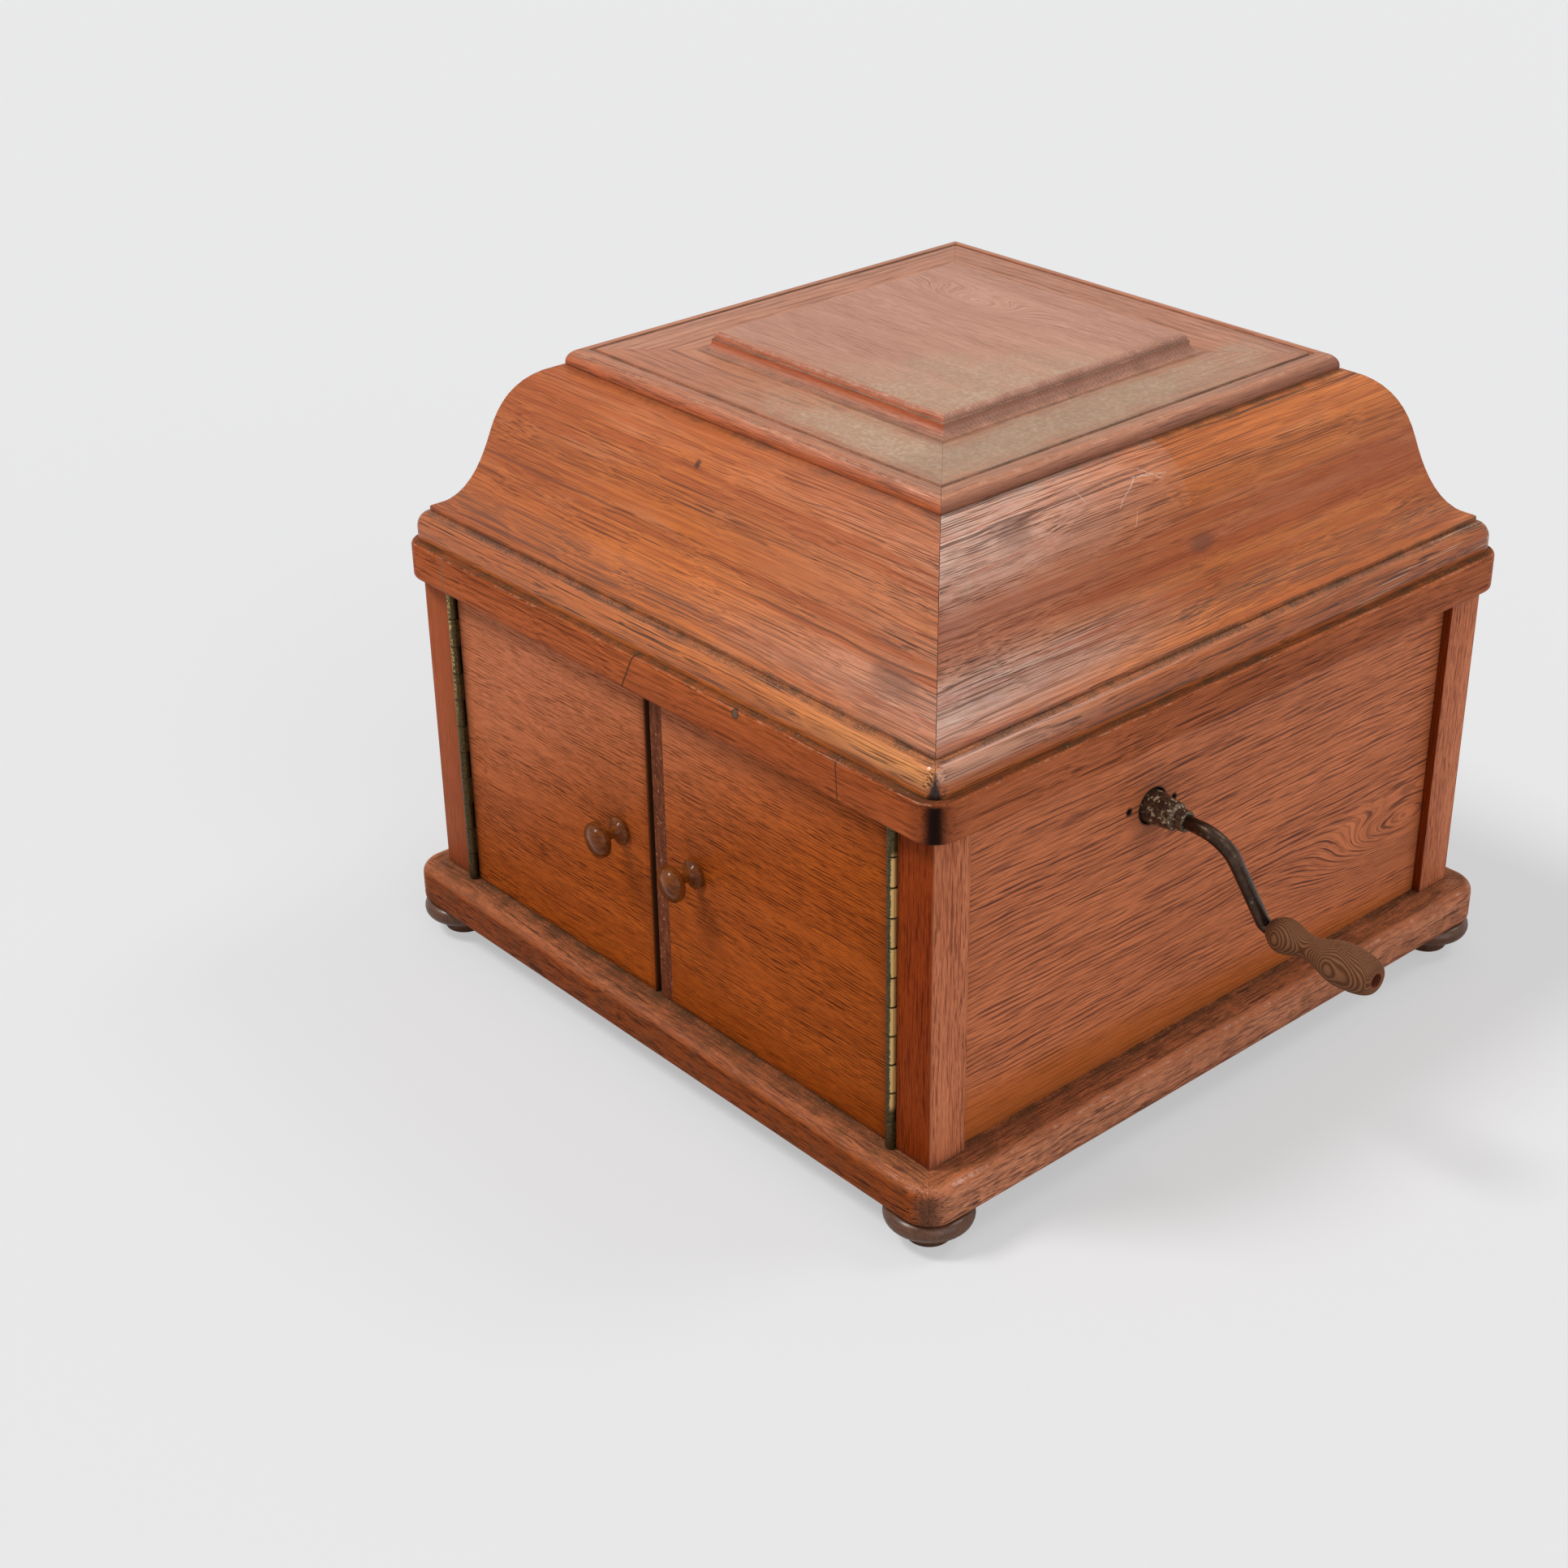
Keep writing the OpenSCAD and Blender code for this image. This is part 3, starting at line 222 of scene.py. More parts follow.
class Oak:
    """Oak with its grain along u: long dark pores that follow the growth rings, short ones and slow tone changes.

    eye is the place (u, v), swell and length of an oval in the figure. pitch is the rings' width, line the
    length and width of the long pores, dark their strength and hair that of the short ones. gather says how
    much the pores crowd together, ring how much they keep to the rings. turn is how far a moulding stands out
    from the posts, and the radius of its corners in plan.
    """

    def __init__(self, name, axes, seed, light, deep, pore, eye=None, pitch=5.0, line=(34.0, 1.1),
                 dark=0.8, hair=0.6, gather=0.4, ring=0.1, turn=(0.0, 0.0), **fixed):
        s = self.s = Shade(name, **{"Specular_IOR_Level": 0.35, **fixed})
        shift = self.lay_mitred(seed, *turn) if axes == "mitred" else self.lay_straight(seed, axes)
        u, v, w = self.u, self.v, self.w
        us, ws = s.add(u, s.mul(shift, 3.7)), s.add(w, s.mul(shift, 1.3))

        # The place across the rings, which bulges where the board cuts an oval
        pith = s.add(v, s.about(s.drawn((us, v, ws), (95, 30, 30)), 7.0))
        if eye:
            u0, v0, swell, length = eye
            q, p = s.mul(s.sub(u, u0), 1 / length), s.mul(s.sub(v, v0), 1.7 / swell)
            bulge = s.f("EXPONENT", s.mul(s.add(s.mul(q, q), s.mul(p, p)), -1.0))
            pith = s.add(pith, s.mul(bulge, swell))
        blur = s.mul(s.drawn((us, v, ws), (24, 5, 5)), pitch * 0.9)
        phase = s.mul(s.add(pith, s.mul(w, 0.6), blur), 2 * math.pi / pitch)
        early = s.add(s.mul(s.f("COSINE", phase), 0.5), 0.5)
        across = s.add(pith, s.mul(shift, 1.7))

        def grain(length, width, detail=2.0, rough=0.5):
            return s.drawn((us, across, ws), (length, width, width), detail, rough)

        span, wide = line
        crowd = s.lerp(s.step(grain(220, 11), 0.33, 0.6), 1.0 - gather, 1.0)
        long = s.add(s.mul(grain(span, wide, 2.5, 0.55), 1.0 - ring), s.mul(early, ring))
        lines = s.mul(s.step(long, 0.49, 0.63), crowd)
        thin = s.mul(s.step(grain(span / 1.9, wide / 1.7, 2.0, 0.6), 0.47, 0.66), crowd, 0.6)
        short = s.step(grain(8.0, 0.5, 1.5), 0.56, 0.68)
        dash = s.mul(short, s.add(s.mul(early, 0.5), 0.5), s.mul(crowd, hair))
        self.pores = s.most(s.most(lines, thin), dash)

        slow, fibre = grain(200, 18, 3.0, 0.6), grain(60, 0.8, 2.0, 0.6)
        blotch = s.noise(s.pos, 1 / 70, 3.0, 0.6)
        tone = s.add(s.mul(s.step(slow, 0.36, 0.64), 0.6), s.about(fibre, 0.8))
        tone = s.add(tone, s.mul(early, 0.15), s.about(blotch, 0.5))
        self.color = s.mix(s.unit(tone), light, deep)
        self.color = s.mix(s.mul(self.pores, dark), self.color, pore)
        self.height = s.sub(s.mul(fibre, 0.35), self.pores)
        wax = s.noise(s.pos, 1 / 28, 4.0, 0.65)
        self.rough = s.add(0.32, s.mul(wax, 0.2), s.mul(self.pores, 0.2))
        self.grains = s.noise(s.pos, 0.9, 3.0, 0.7)
        self.patch = s.noise(s.pos, 1 / 14, 4.0, 0.65)

    def lay_mitred(self, seed, lip, r):
        """Grain along each rail of a mitred frame; hands back a shift that differs from rail to rail."""
        s = self.s
        sx, sy = s.sub(s.absol(s.x), W), s.sub(s.absol(s.y), D)
        # How far out from the post faces, measured round the plan's corners where they have a radius
        ax, ay = s.sub(sx, lip - r), s.sub(sy, lip - r)
        turned = s.radius(s.most(ax, 0.0), s.most(ay, 0.0))
        self.out = s.add(turned, s.add(s.least(s.most(ax, ay), 0.0), lip - r))
        self.from_mitre = s.absol(s.sub(sx, sy))
        side = self.side = s.step(s.sub(sx, sy), -0.02, 0.02)
        self.u, self.v, self.w = s.lerp(side, s.x, s.y), s.lerp(side, s.y, s.x), s.z
        far = s.lerp(side, s.step(s.y, -1, 1), s.step(s.x, -1, 1))
        return s.add(s.mul(side, 211.0), s.mul(far, 97.0), seed)

    def lay_straight(self, seed, axes):
        """Grain along the first of the axes. Upright pieces get a shift that differs from corner to corner."""
        s = self.s
        self.u, self.v, self.w = (dict(x=s.x, y=s.y, z=s.z)[k] for k in axes)
        if axes[0] != "z":
            return seed
        return s.add(s.mul(s.step(s.x, -1, 1), 131.0), s.mul(s.step(s.y, -1, 1), 59.0), seed)

    def paint_facing_light(self, front, side, top):
        """Painted light and shade: colour of the faces that look forward, sideways and up, as factors on the
        wood's own.
        """
        s = self.s
        ahead = s.most(s.mul(s.ny, -1.0), 0.0)
        factor = PLAIN
        for facing, to in ((ahead, front), (s.nx, side), (s.nz, top)):
            factor = s.vmath("MULTIPLY_ADD", s.mul(facing, facing), [k - 1.0 for k in to], factor)
        self.color = s.vmath("MULTIPLY", self.color, factor)

    def paint(self, mask, color, rough=None):
        self.color = self.s.mix(mask, self.color, color)
        if rough is not None:
            self.rough = self.s.lerp(mask, self.rough, rough)

    def dirt_and_shade(self, near, amount, color=GRIME_AND_SHADE):
        """Grime and painted shade where near is close to 1, broken into grains and patches, with pale crumbs in
        it.
        """
        s = self.s
        broken = s.add(s.mul(s.step(self.patch, 0.36, 0.62), 0.6), s.mul(s.step(self.grains, 0.40, 0.62), 0.4))
        mask = s.mul(near, s.add(s.mul(broken, 0.85), 0.15), amount)
        self.paint(mask, color, 0.85)
        self.paint(s.mul(mask, s.step(s.noise(s.pos, 0.62, 2.0, 0.6), 0.66, 0.72), 0.75), CRUMB)

    def mitre(self, half, amount, color):
        """Dirt in the mitres' joints."""
        self.dirt_and_shade(self.s.step(self.from_mitre, half, 0.05), amount, color)

    def wear_and_highlight(self, near, color, amount):
        """Edges worn paler and smoother, with painted highlights along them, in broken lengths."""
        s = self.s
        along = s.noise(s.pos, 1 / 5, 4.0, 0.8)
        self.paint(s.mul(near, s.step(along, 0.46, 0.66), amount), color, 0.3)

    def stain(self, mask, along, squeeze, height, reach, core, share, color, rag, fine=False):
        """A soft spot between the radii reach and core; a squeeze below 1 draws it out along the board."""
        s = self.s
        away = s.radius(s.mul(along, squeeze), s.sub(s.z, height))
        self.paint(s.mul(mask, s.step(self.jag(away, rag, fine), reach, core), share), color)

    def jag(self, v, amount, fine=False):
        """v with a ragged edge."""
        return self.s.add(v, self.s.about(self.grains if fine else self.patch, amount))

    def near_corner(self):
        """How far from the mitre between front and right side, in millimetres."""
        s = self.s
        here = s.mul(s.step(s.x, -1, 1), s.step(s.y, 1, -1))
        return s.add(self.from_mitre, s.mul(s.inv(here), 500.0))

    def finish(self, strength=0.35):
        self.s.relief(self.height, strength, 0.0004)
        return self.s.done(self.color, self.rough)


def make_plinth():
    o = Oak("oak_plinth", "mitred", 11.0, (0.46, 0.134, 0.040), (0.32, 0.080, 0.021), (0.085, 0.024, 0.011),
            line=(15.0, 0.8), dark=1.0, hair=1.0, gather=0.25, ring=0.05, turn=(PLINTH_OUT, 16.0),
            Specular_IOR_Level=0.06)
    s = o.s
    # Painted light and shade: front faces darker, side and top faces paler
    o.paint_facing_light((0.60, 0.40, 0.10), (1.32, 1.75, 2.9), (1.12, 1.26, 1.7))
    wall = s.most(s.sub(s.absol(s.x), W - 5.0), s.sub(s.absol(s.y), D - 1.2))
    top = s.step(s.z, Z_PLINTH - 1.0, Z_PLINTH - 0.2)
    o.paint(s.mul(s.step(o.patch, 0.44, 0.64), s.add(s.mul(top, 0.2), 0.3)), (0.110, 0.044, 0.019), 0.6)
    o.paint(s.mul(top, s.step(o.grains, 0.42, 0.60), 0.4), (0.120, 0.066, 0.028), 0.7)
    # Grime and painted shade on the top, where it meets the posts and panels
    o.dirt_and_shade(s.mul(top, s.step(o.jag(wall, 12.0), 9.0, 0.5)), 0.95, (0.075, 0.038, 0.018))
    # Darker at the bottom of the rails
    o.dirt_and_shade(s.step(o.jag(s.z, 4.0), 22.5, 18.6), 0.5, (0.055, 0.024, 0.012))
    # The upper outer edge, where height less overhang comes to one value
    slope, edge = s.sub(s.z, o.out), Z_PLINTH - PLINTH_OUT
    arris = s.mul(s.band(slope, edge, 0.7, 0.6), s.step(s.z, 36.0, 37.5))
    # Worn paler along the upper arris, with a painted highlight
    o.wear_and_highlight(arris, (0.62, 0.42, 0.33), s.lerp(o.side, 0.1, 0.6))
    # A broader paler band round the edge: wear and painted highlight
    broad = s.mul(s.band(slope, edge, 2.5, 2.5), s.step(s.z, 34.0, 36.0))
    o.paint(s.mul(broad, s.lerp(o.side, 0.2, 0.4)), (0.46, 0.15, 0.065), 0.3)
    corner = o.near_corner()
    dark = s.mul(s.step(o.jag(corner, 10.0), 12.0, 3.0), s.step(s.z, 38.0, 32.0), 0.7)
    o.paint(dark, (0.06, 0.026, 0.016))
    # Worn paler near the corner, with a painted highlight
    o.wear_and_highlight(s.mul(s.band(slope, edge, 1.2, 1.2), s.step(corner, 40.0, 12.0)), (0.60, 0.40, 0.32), 0.6)
    o.mitre(0.35, 0.8, (0.035, 0.016, 0.009))
    return o.finish()


def make_posts():
    o = Oak("oak_posts", "zxy", 23.0, (0.59, 0.198, 0.092), (0.46, 0.140, 0.060), (0.21, 0.056, 0.029),
            pitch=1.7, line=(16.0, 0.6), dark=1.0, hair=1.0, ring=0.06, Specular_IOR_Level=0.04)
    s = o.s
    # Painted shade: the front faces much darker, the tops a little darker
    o.paint_facing_light((0.485, 0.21, 0.03), PLAIN, (0.8, 0.8, 0.8))
    # Painted light: the left post's front faces lighter
    left_front = s.mul(s.step(s.x, -100.0, -140.0), s.most(s.mul(s.ny, -1.0), 0.0))
    o.paint(s.mul(left_front, 0.4), (0.52, 0.150, 0.060))
    # Grime and painted shade at the foot above the plinth, and at the head under the rim
    o.dirt_and_shade(s.step(o.jag(s.z, 6.0), Z_PLINTH + 4.1, Z_PLINTH + 0.1), 0.6)
    o.dirt_and_shade(s.step(o.jag(s.z, 4.0), Z_RIM - 4.4, Z_RIM), 0.6)
    # Painted shade on the posts' faces more than about 20 mm in from the corners, towards the recesses
    deep = s.most(s.step(s.absol(s.x), W - 19.0, W - 22.0), s.step(s.absol(s.y), D - 19.0, D - 22.0))
    o.paint(s.mul(deep, 0.25), (0.12, 0.03, 0.010))
    arris = s.mul(s.step(s.absol(s.x), W - 1.0, W - 0.3), s.step(s.absol(s.y), D - 1.0, D - 0.3))
    chips = s.step(s.noise(s.vec(0.0, 0.0, s.z), 0.09, 3.0, 0.7), 0.62, 0.66)
    o.paint(s.mul(arris, 0.5), (0.30, 0.10, 0.045), 0.3)
    o.paint(s.mul(arris, chips, s.step(s.z, 150.0, 165.0)), (0.70, 0.50, 0.38), 0.6)
    return o.finish(0.25)


# Middles (y, z) of the two empty screw holes beside the crank
SCREW_HOLES = ((-62.6, 175.6), (-31.6, 172.1))


def make_side(name, seed, eye, crank=False):
    o = Oak(name, "yzx", seed, (0.60, 0.178, 0.066), (0.46, 0.128, 0.045), (0.120, 0.034, 0.019),
            eye=eye, pitch=2.7, line=(30.0, 0.7), dark=1.0, gather=0.25, ring=0.12,
            Specular_IOR_Level=0.12)
    s = o.s
    # Grime and painted shade at the foot above the plinth, and under the rim
    o.dirt_and_shade(s.step(o.jag(s.z, 8.0), Z_PLINTH + 6.1, Z_PLINTH + 0.2), 0.7)
    o.dirt_and_shade(s.step(o.jag(s.z, 4.0), Z_RIM - 5.4, Z_RIM), 0.5)
    low = s.step(s.add(s.z, s.mul(s.y, 0.06)), 66.0, 46.0)
    o.paint(s.mul(low, 0.62), (0.43, 0.100, 0.010))
    # Painted shade beside the posts, where the panel lies back
    o.paint(s.mul(s.step(s.absol(s.y), D - 30.0, D - 22.0), 0.3), (0.16, 0.045, 0.016))
    if crank:
        # Painted shade round the crank, and the crank's hole painted black for the shade in it
        around = s.radius(s.sub(s.y, CRANK_Y), s.sub(s.z, CRANK_Z))
        o.paint(s.mul(s.step(o.jag(around, 8.0), 22.0, 10.0), 0.4), (0.14, 0.042, 0.018))
        o.paint(s.step(around, 10.6, 9.0), (0.02, 0.010, 0.006), 0.9)
        # Painted shade in the two empty screw holes
        for y, z in SCREW_HOLES:
            hole = s.radius(s.sub(s.y, y), s.sub(s.z, z))
            o.paint(s.step(hole, 2.9, 1.4), (0.025, 0.012, 0.008), 0.9)
    return o.finish(0.3)


def make_back():
    o = Oak("oak_back", "xzy", 61.0, (0.44, 0.135, 0.050), (0.32, 0.088, 0.030), (0.13, 0.038, 0.020),
            eye=(30.0, 120.0, 34.0, 120.0), line=(44.0, 1.2))
    # Grime and painted shade at the foot above the plinth
    o.dirt_and_shade(o.s.step(o.jag(o.s.z, 8.0), Z_PLINTH + 6.6, Z_PLINTH + 0.6), 0.7)
    return o.finish()


def make_doors():
    o = Oak("oak_doors", "xzy", 71.0, (0.455, 0.095, 0.0105), (0.315, 0.058, 0.005), (0.092, 0.018, 0.003),
            eye=(-60.0, -40.0, 60.0, 300.0), pitch=1.7, line=(13.0, 0.5), dark=1.0, hair=1.0,
            Specular_IOR_Level=0.03)
    s = o.s
    # The upper left lies paler in the light
    pale = s.mul(s.step(s.sub(s.z, s.mul(s.x, 0.42)), 110.0, 240.0), 0.9)
    o.paint(pale, s.mix(o.pores, (0.60, 0.192, 0.085), (0.20, 0.056, 0.023)))
    spots = s.step(s.noise(s.pos, 1 / 9, 2.0, 0.5), 0.70, 0.78)
    o.paint(s.mul(spots, 0.4), (0.10, 0.026, 0.010))
    flecks = s.step(s.drawn((s.x, 0.0, s.z), (4.0, 1.0, 0.5), 2.0, 0.6), 0.71, 0.76)
    o.paint(s.mul(flecks, 0.45), (0.62, 0.33, 0.20))
    black = (0.05, 0.022, 0.010)
    # Grime and painted shade at the foot above the plinth, and under the rim
    o.dirt_and_shade(s.step(o.jag(s.z, 5.0), Z_PLINTH + 3.6, Z_PLINTH + 0.6), 0.55, black)
    o.dirt_and_shade(s.step(o.jag(s.z, 3.0), Z_RIM - 3.9, Z_RIM - 0.9), 0.5, black)
    # Painted shade along the doors' outer edges and beside the middle gap
    edge = s.most(s.step(s.absol(s.x), 154.0, 162.0), s.band(s.x, -7.3, 3.0, 4.0))
    o.paint(s.mul(edge, 0.35), (0.12, 0.030, 0.010))
    # The free edges darker: grime, and painted shade for the gap between the doors
    free = s.mul(s.step(s.absol(s.nx), 0.5, 0.8), s.step(s.y, DOOR_Y + 0.4, DOOR_Y + 1.5))
    o.paint(free, (0.070, 0.026, 0.012), 0.8)
    return o.finish(0.22)


# Joints in the front rim rail: place, lean, half width and colour of each line; then a nail's head (x, z)
RIM_JOINTS = (
    (-161.5, 0.08, 0.35, (0.20, 0.125, 0.085)),
    (-9.4, 0.5, 0.4, (0.060, 0.028, 0.016)),
    (136.9, -0.06, 0.3, (0.070, 0.034, 0.020)),
)
RIM_NAIL = (69.4, 230.2)


def make_rim():
    o = Oak("oak_rim", "mitred", 31.0, (0.57, 0.148, 0.042), (0.37, 0.083, 0.020), (0.090, 0.023, 0.008),
            pitch=2.2, line=(46.0, 0.55), dark=0.85, hair=0.3, ring=0.07, turn=(RIM_OUT, 14.0),
            Specular_IOR_Level=0.04)
    s = o.s
    # Painted shade: front, side and top faces darker by how they face
    o.paint_facing_light((0.86, 0.76, 0.67), (0.75, 0.80, 1.05), (0.8, 0.8, 0.8))
    # Grime and painted shade on the top ledge in front of the lid's base, and along the bottom edge
    top = s.step(o.jag(s.z, 0.8, True), Z_TOP - 0.5, Z_TOP - 0.1)
    o.dirt_and_shade(s.mul(top, s.step(o.jag(o.out, 2.0), 1.0, 4.0)), 0.95)
    o.dirt_and_shade(s.step(s.z, Z_RIM + 2.0, Z_RIM), 0.6, (0.05, 0.024, 0.013))
    front = s.step(s.y, -D - 2.0, -D - 4.0)
    for at, lean, half, tone in RIM_JOINTS:
        line = s.absol(s.sub(s.sub(s.x, at), s.mul(s.sub(s.z, 223.0), lean)))
        line = s.step(o.jag(line, 0.8, True), half + 0.35, half - 0.1)
        o.paint(s.mul(front, line, 0.85), tone, 0.8)
    nail = s.radius(s.sub(s.x, RIM_NAIL[0]), s.sub(s.z, RIM_NAIL[1]))
    o.paint(s.mul(front, s.step(o.jag(nail, 0.8, True), 2.2, 1.5)), (0.13, 0.085, 0.055), 0.6)
    o.paint(s.mul(front, s.band(nail, 2.1, 0.2, 0.4), 0.7), (0.05, 0.022, 0.012))
    # The near corner is nearly black
    corner = o.near_corner()
    o.paint(s.mul(s.step(o.jag(corner, 14.0), 20.0, 6.0), 0.5), (0.12, 0.026, 0.010))
    ragged = s.add(o.jag(corner, 3.0), s.about(o.grains, 2.6))
    black = s.mul(s.step(ragged, 9.5, 1.8), s.step(s.z, Z_TOP - 0.2, Z_TOP - 2.4), 0.98)
    o.paint(black, (0.006, 0.002, 0.0015), 0.5)
    # Worn paler along the upper arris, with a painted highlight
    arris = s.mul(s.band(s.sub(s.z, o.out), Z_TOP - RIM_OUT, 0.3, 0.4), s.step(s.z, 230.5, 231.3))
    o.wear_and_highlight(arris, (0.56, 0.31, 0.21), 0.5)
    return o.finish()


def make_base():
    o = Oak("oak_lid_base", "mitred", 41.0, (0.62, 0.190, 0.050), (0.36, 0.090, 0.022), (0.070, 0.024, 0.010),
            pitch=2.4, line=(60.0, 0.7), dark=1.0, hair=0.3, ring=0.06, turn=(3.2, 8.4),
            Specular_IOR_Level=0.15, Coat_Weight=0.4, Coat_Roughness=0.16)
    s = o.s
    # Painted light and shade: the front faces redder, the side faces darker
    o.paint_facing_light((1.06, 0.95, 0.66), (0.74, 0.62, 0.50), PLAIN)
    corner, front, between = o.near_corner(), s.inv(o.side), s.inv(o.pores)
    # Painted highlight: a golden glow on the front near the corner, between the pores
    glow = s.mul(s.step(corner, 130.0, 10.0), front, s.band(s.z, 242.0, 2.5, 4.0), between)
    o.paint(s.mul(glow, 0.48), (0.84, 0.38, 0.12))
    o.paint(s.mul(s.step(s.x, 90.0, -120.0), front, between, 0.5), (0.43, 0.105, 0.028))
    # Painted highlight: a whitish one on the right side near the corner
    side_highlight = s.mul(s.step(corner, 150.0, 12.0), o.side, s.band(s.z, 243.5, 1.5, 3.5), between)
    o.paint(s.mul(side_highlight, 0.4), (0.70, 0.48, 0.36), 0.35)
    foot = s.step(o.jag(s.z, 1.2, True), Z_TOP + 2.0, Z_TOP + 0.2)
    # Grime and painted shade where the base sits on the rim, and at the top where the ogee's lip sits on it
    o.dirt_and_shade(s.mul(foot, s.step(o.jag(o.out, 2.0), -3.0, 0.0)), 0.9)
    o.dirt_and_shade(s.step(o.jag(s.z, 1.2, True), Z_LIP - 1.9, Z_LIP - 0.5), 0.9, (0.060, 0.032, 0.018))
    # The near corner's black narrows upwards
    ragged = s.add(o.jag(corner, 2.0), s.about(o.grains, 2.6))
    wedge = s.add(ragged, s.mul(s.most(s.sub(s.z, Z_TOP), 0.0), 0.42))
    o.paint(s.mul(s.step(wedge, 6.4, 3.0), 0.97), (0.007, 0.003, 0.002), 0.5)
    o.paint(s.mul(s.step(corner, 14.0, 2.0), o.pores, 0.8), (0.03, 0.014, 0.010))
    o.mitre(0.4, 0.8, (0.03, 0.014, 0.008))
    back = s.mul(s.step(s.x, 150.0, 180.0), s.step(s.y, 40.0, 120.0))
    marks = s.drawn((s.y, s.z, s.x), (60, 1.25, 1.25))
    o.paint(s.mul(back, s.step(marks, 0.62, 0.66), 0.5), (0.60, 0.40, 0.28))
    return o.finish()


# Pale scratches high on the right ogee board, each from y0, z0 to y1, z1
SCRATCHES = (
    (-66, 324, -61, 316), (-48, 322.5, -44, 318.5), (-47, 310, -28, 320),
    (-31, 320, -8, 317), (-39, 300, -34, 309), (-25, 322, -12, 315),
)


def make_ogee():
    o = Oak("oak_ogee", "mitred", 53.0, (0.70, 0.206, 0.048), (0.47, 0.115, 0.022), (0.115, 0.038, 0.020),
            pitch=2.4, line=(80.0, 0.5), dark=0.95, hair=0.3, gather=0.5, ring=0.05, Specular_IOR_Level=0.2)
    s = o.s
    # Painted shade: the side faces darker, the front a little deeper in colour
    o.paint_facing_light((1.0, 0.96, 0.86), (0.84, 0.84, 0.86), PLAIN)
    # Grime and painted shade at the foot of the boards and at their top under the bead
    o.dirt_and_shade(s.step(o.jag(s.z, 1.2, True), Z_OGEE + 0.9, Z_OGEE - 0.9), 0.9, (0.075, 0.040, 0.022))
    o.dirt_and_shade(s.step(o.jag(s.z, 3.0), Z_BEAD - 1.8, Z_BEAD), 0.8)
    corner = o.near_corner()
    o.paint(s.mul(s.step(corner, 70.0, 4.0), o.pores, 0.7), (0.05, 0.026, 0.018))
    # A pale painted sheen, towards the near mitre and more on the right board
    upper, cove = s.step(s.z, 285.0, 325.0), s.band(s.z, 261.0, 4.0, 8.0)
    more = s.mul(o.side, s.add(0.35, s.mul(upper, 0.95), s.mul(cove, 0.8)))
    painted_sheen = s.mul(s.add(more, 0.35, s.mul(cove, 0.35)), s.add(s.mul(o.patch, 0.8), 0.3))
    painted_sheen = s.mul(painted_sheen, s.step(corner, 190.0, 0.0), s.inv(s.mul(o.pores, 0.9)), 0.68)
    o.paint(painted_sheen, (0.66, 0.465, 0.385), 0.42)
    # A few broad dark lines along the grain, and redder bands
    wave = s.mul(s.drawn((o.u, s.z, o.v), (90, 40, 40)), 9.0)
    level = s.add(s.z, wave)
    broad = s.drawn((o.u, level, o.v), (230, 1.7, 5.0))
    o.paint(s.mul(s.step(broad, 0.62, 0.70), 0.7), (0.085, 0.036, 0.022))
    bands = s.drawn((o.u, level, o.v), (320, 5.0, 7.0), 3.0, 0.6)
    o.paint(s.mul(s.step(bands, 0.48, 0.64), 0.5), (0.38, 0.078, 0.020))
    # Deeper colour high and left on the front, and half-way up on the right
    deeper = s.most(s.mul(s.step(s.z, 285.0, 322.0), 0.25), s.mul(s.step(s.x, 40.0, -150.0), 0.36))
    deeper = s.lerp(o.side, deeper, s.mul(s.band(o.jag(s.z, 6.0), 288.0, 6.0, 12.0), 0.42))
    o.paint(deeper, (0.33, 0.066, 0.018))
    foot = s.band(o.jag(s.z, 8.0), 257.0, 2.0, 8.0)
    o.paint(s.mul(foot, s.add(s.mul(o.pores, 0.6), 0.12)), (0.16, 0.070, 0.045), 0.5)
    # Streaks of painted sheen between the pores
    sheen_streaks = s.drawn((o.u, s.z, o.v), (130, 14, 14), 3.0, 0.6)
    o.paint(s.mul(s.step(sheen_streaks, 0.52, 0.72), s.inv(o.pores), 0.25), (0.62, 0.30, 0.17), 0.5)
    o.mitre(0.35, 0.8, (0.035, 0.018, 0.011))
    # A knot and a stain on the right board, a spot and a smear on the front one
    right, ahead = s.step(s.x, 120.0, 130.0), s.step(s.y, -100.0, -110.0)
    o.stain(right, s.sub(s.y, 2.0), 0.45, 284.0, 6.0, 1.0, 0.6, (0.13, 0.05, 0.03), 6.0)
    o.stain(right, s.add(s.y, 108.0), 0.5, 316.0, 8.0, 2.0, 0.45, (0.12, 0.06, 0.045), 8.0)
    o.stain(ahead, s.add(s.x, 8.0), 1.0, 315.0, 2.4, 1.0, 0.8, (0.05, 0.022, 0.014), 2.0, True)
    o.stain(ahead, s.sub(s.x, 143.0), 0.4, 266.0, 9.0, 2.0, 0.5, (0.16, 0.075, 0.05), 8.0)
    for y0, z0, y1, z1 in SCRATCHES:
        length = math.hypot(y1 - y0, z1 - z0)
        dy, dz = (y1 - y0) / length, (z1 - z0) / length
        y, z = s.sub(s.y, y0), s.sub(s.z, z0)
        t = s.add(s.mul(y, dy), s.mul(z, dz))
        off = s.add(s.sub(s.mul(z, dy), s.mul(y, dz)), s.about(s.noise(s.pos, 0.2), 2.0))
        mark = s.mul(s.band(off, 0.0, 0.12, 0.2), s.step(t, 0, 3), s.step(t, length, length - 3))
        o.paint(s.mul(mark, right, s.step(o.grains, 0.34, 0.56), 0.7), (0.64, 0.47, 0.38), 0.6)
    return o.finish(0.45)


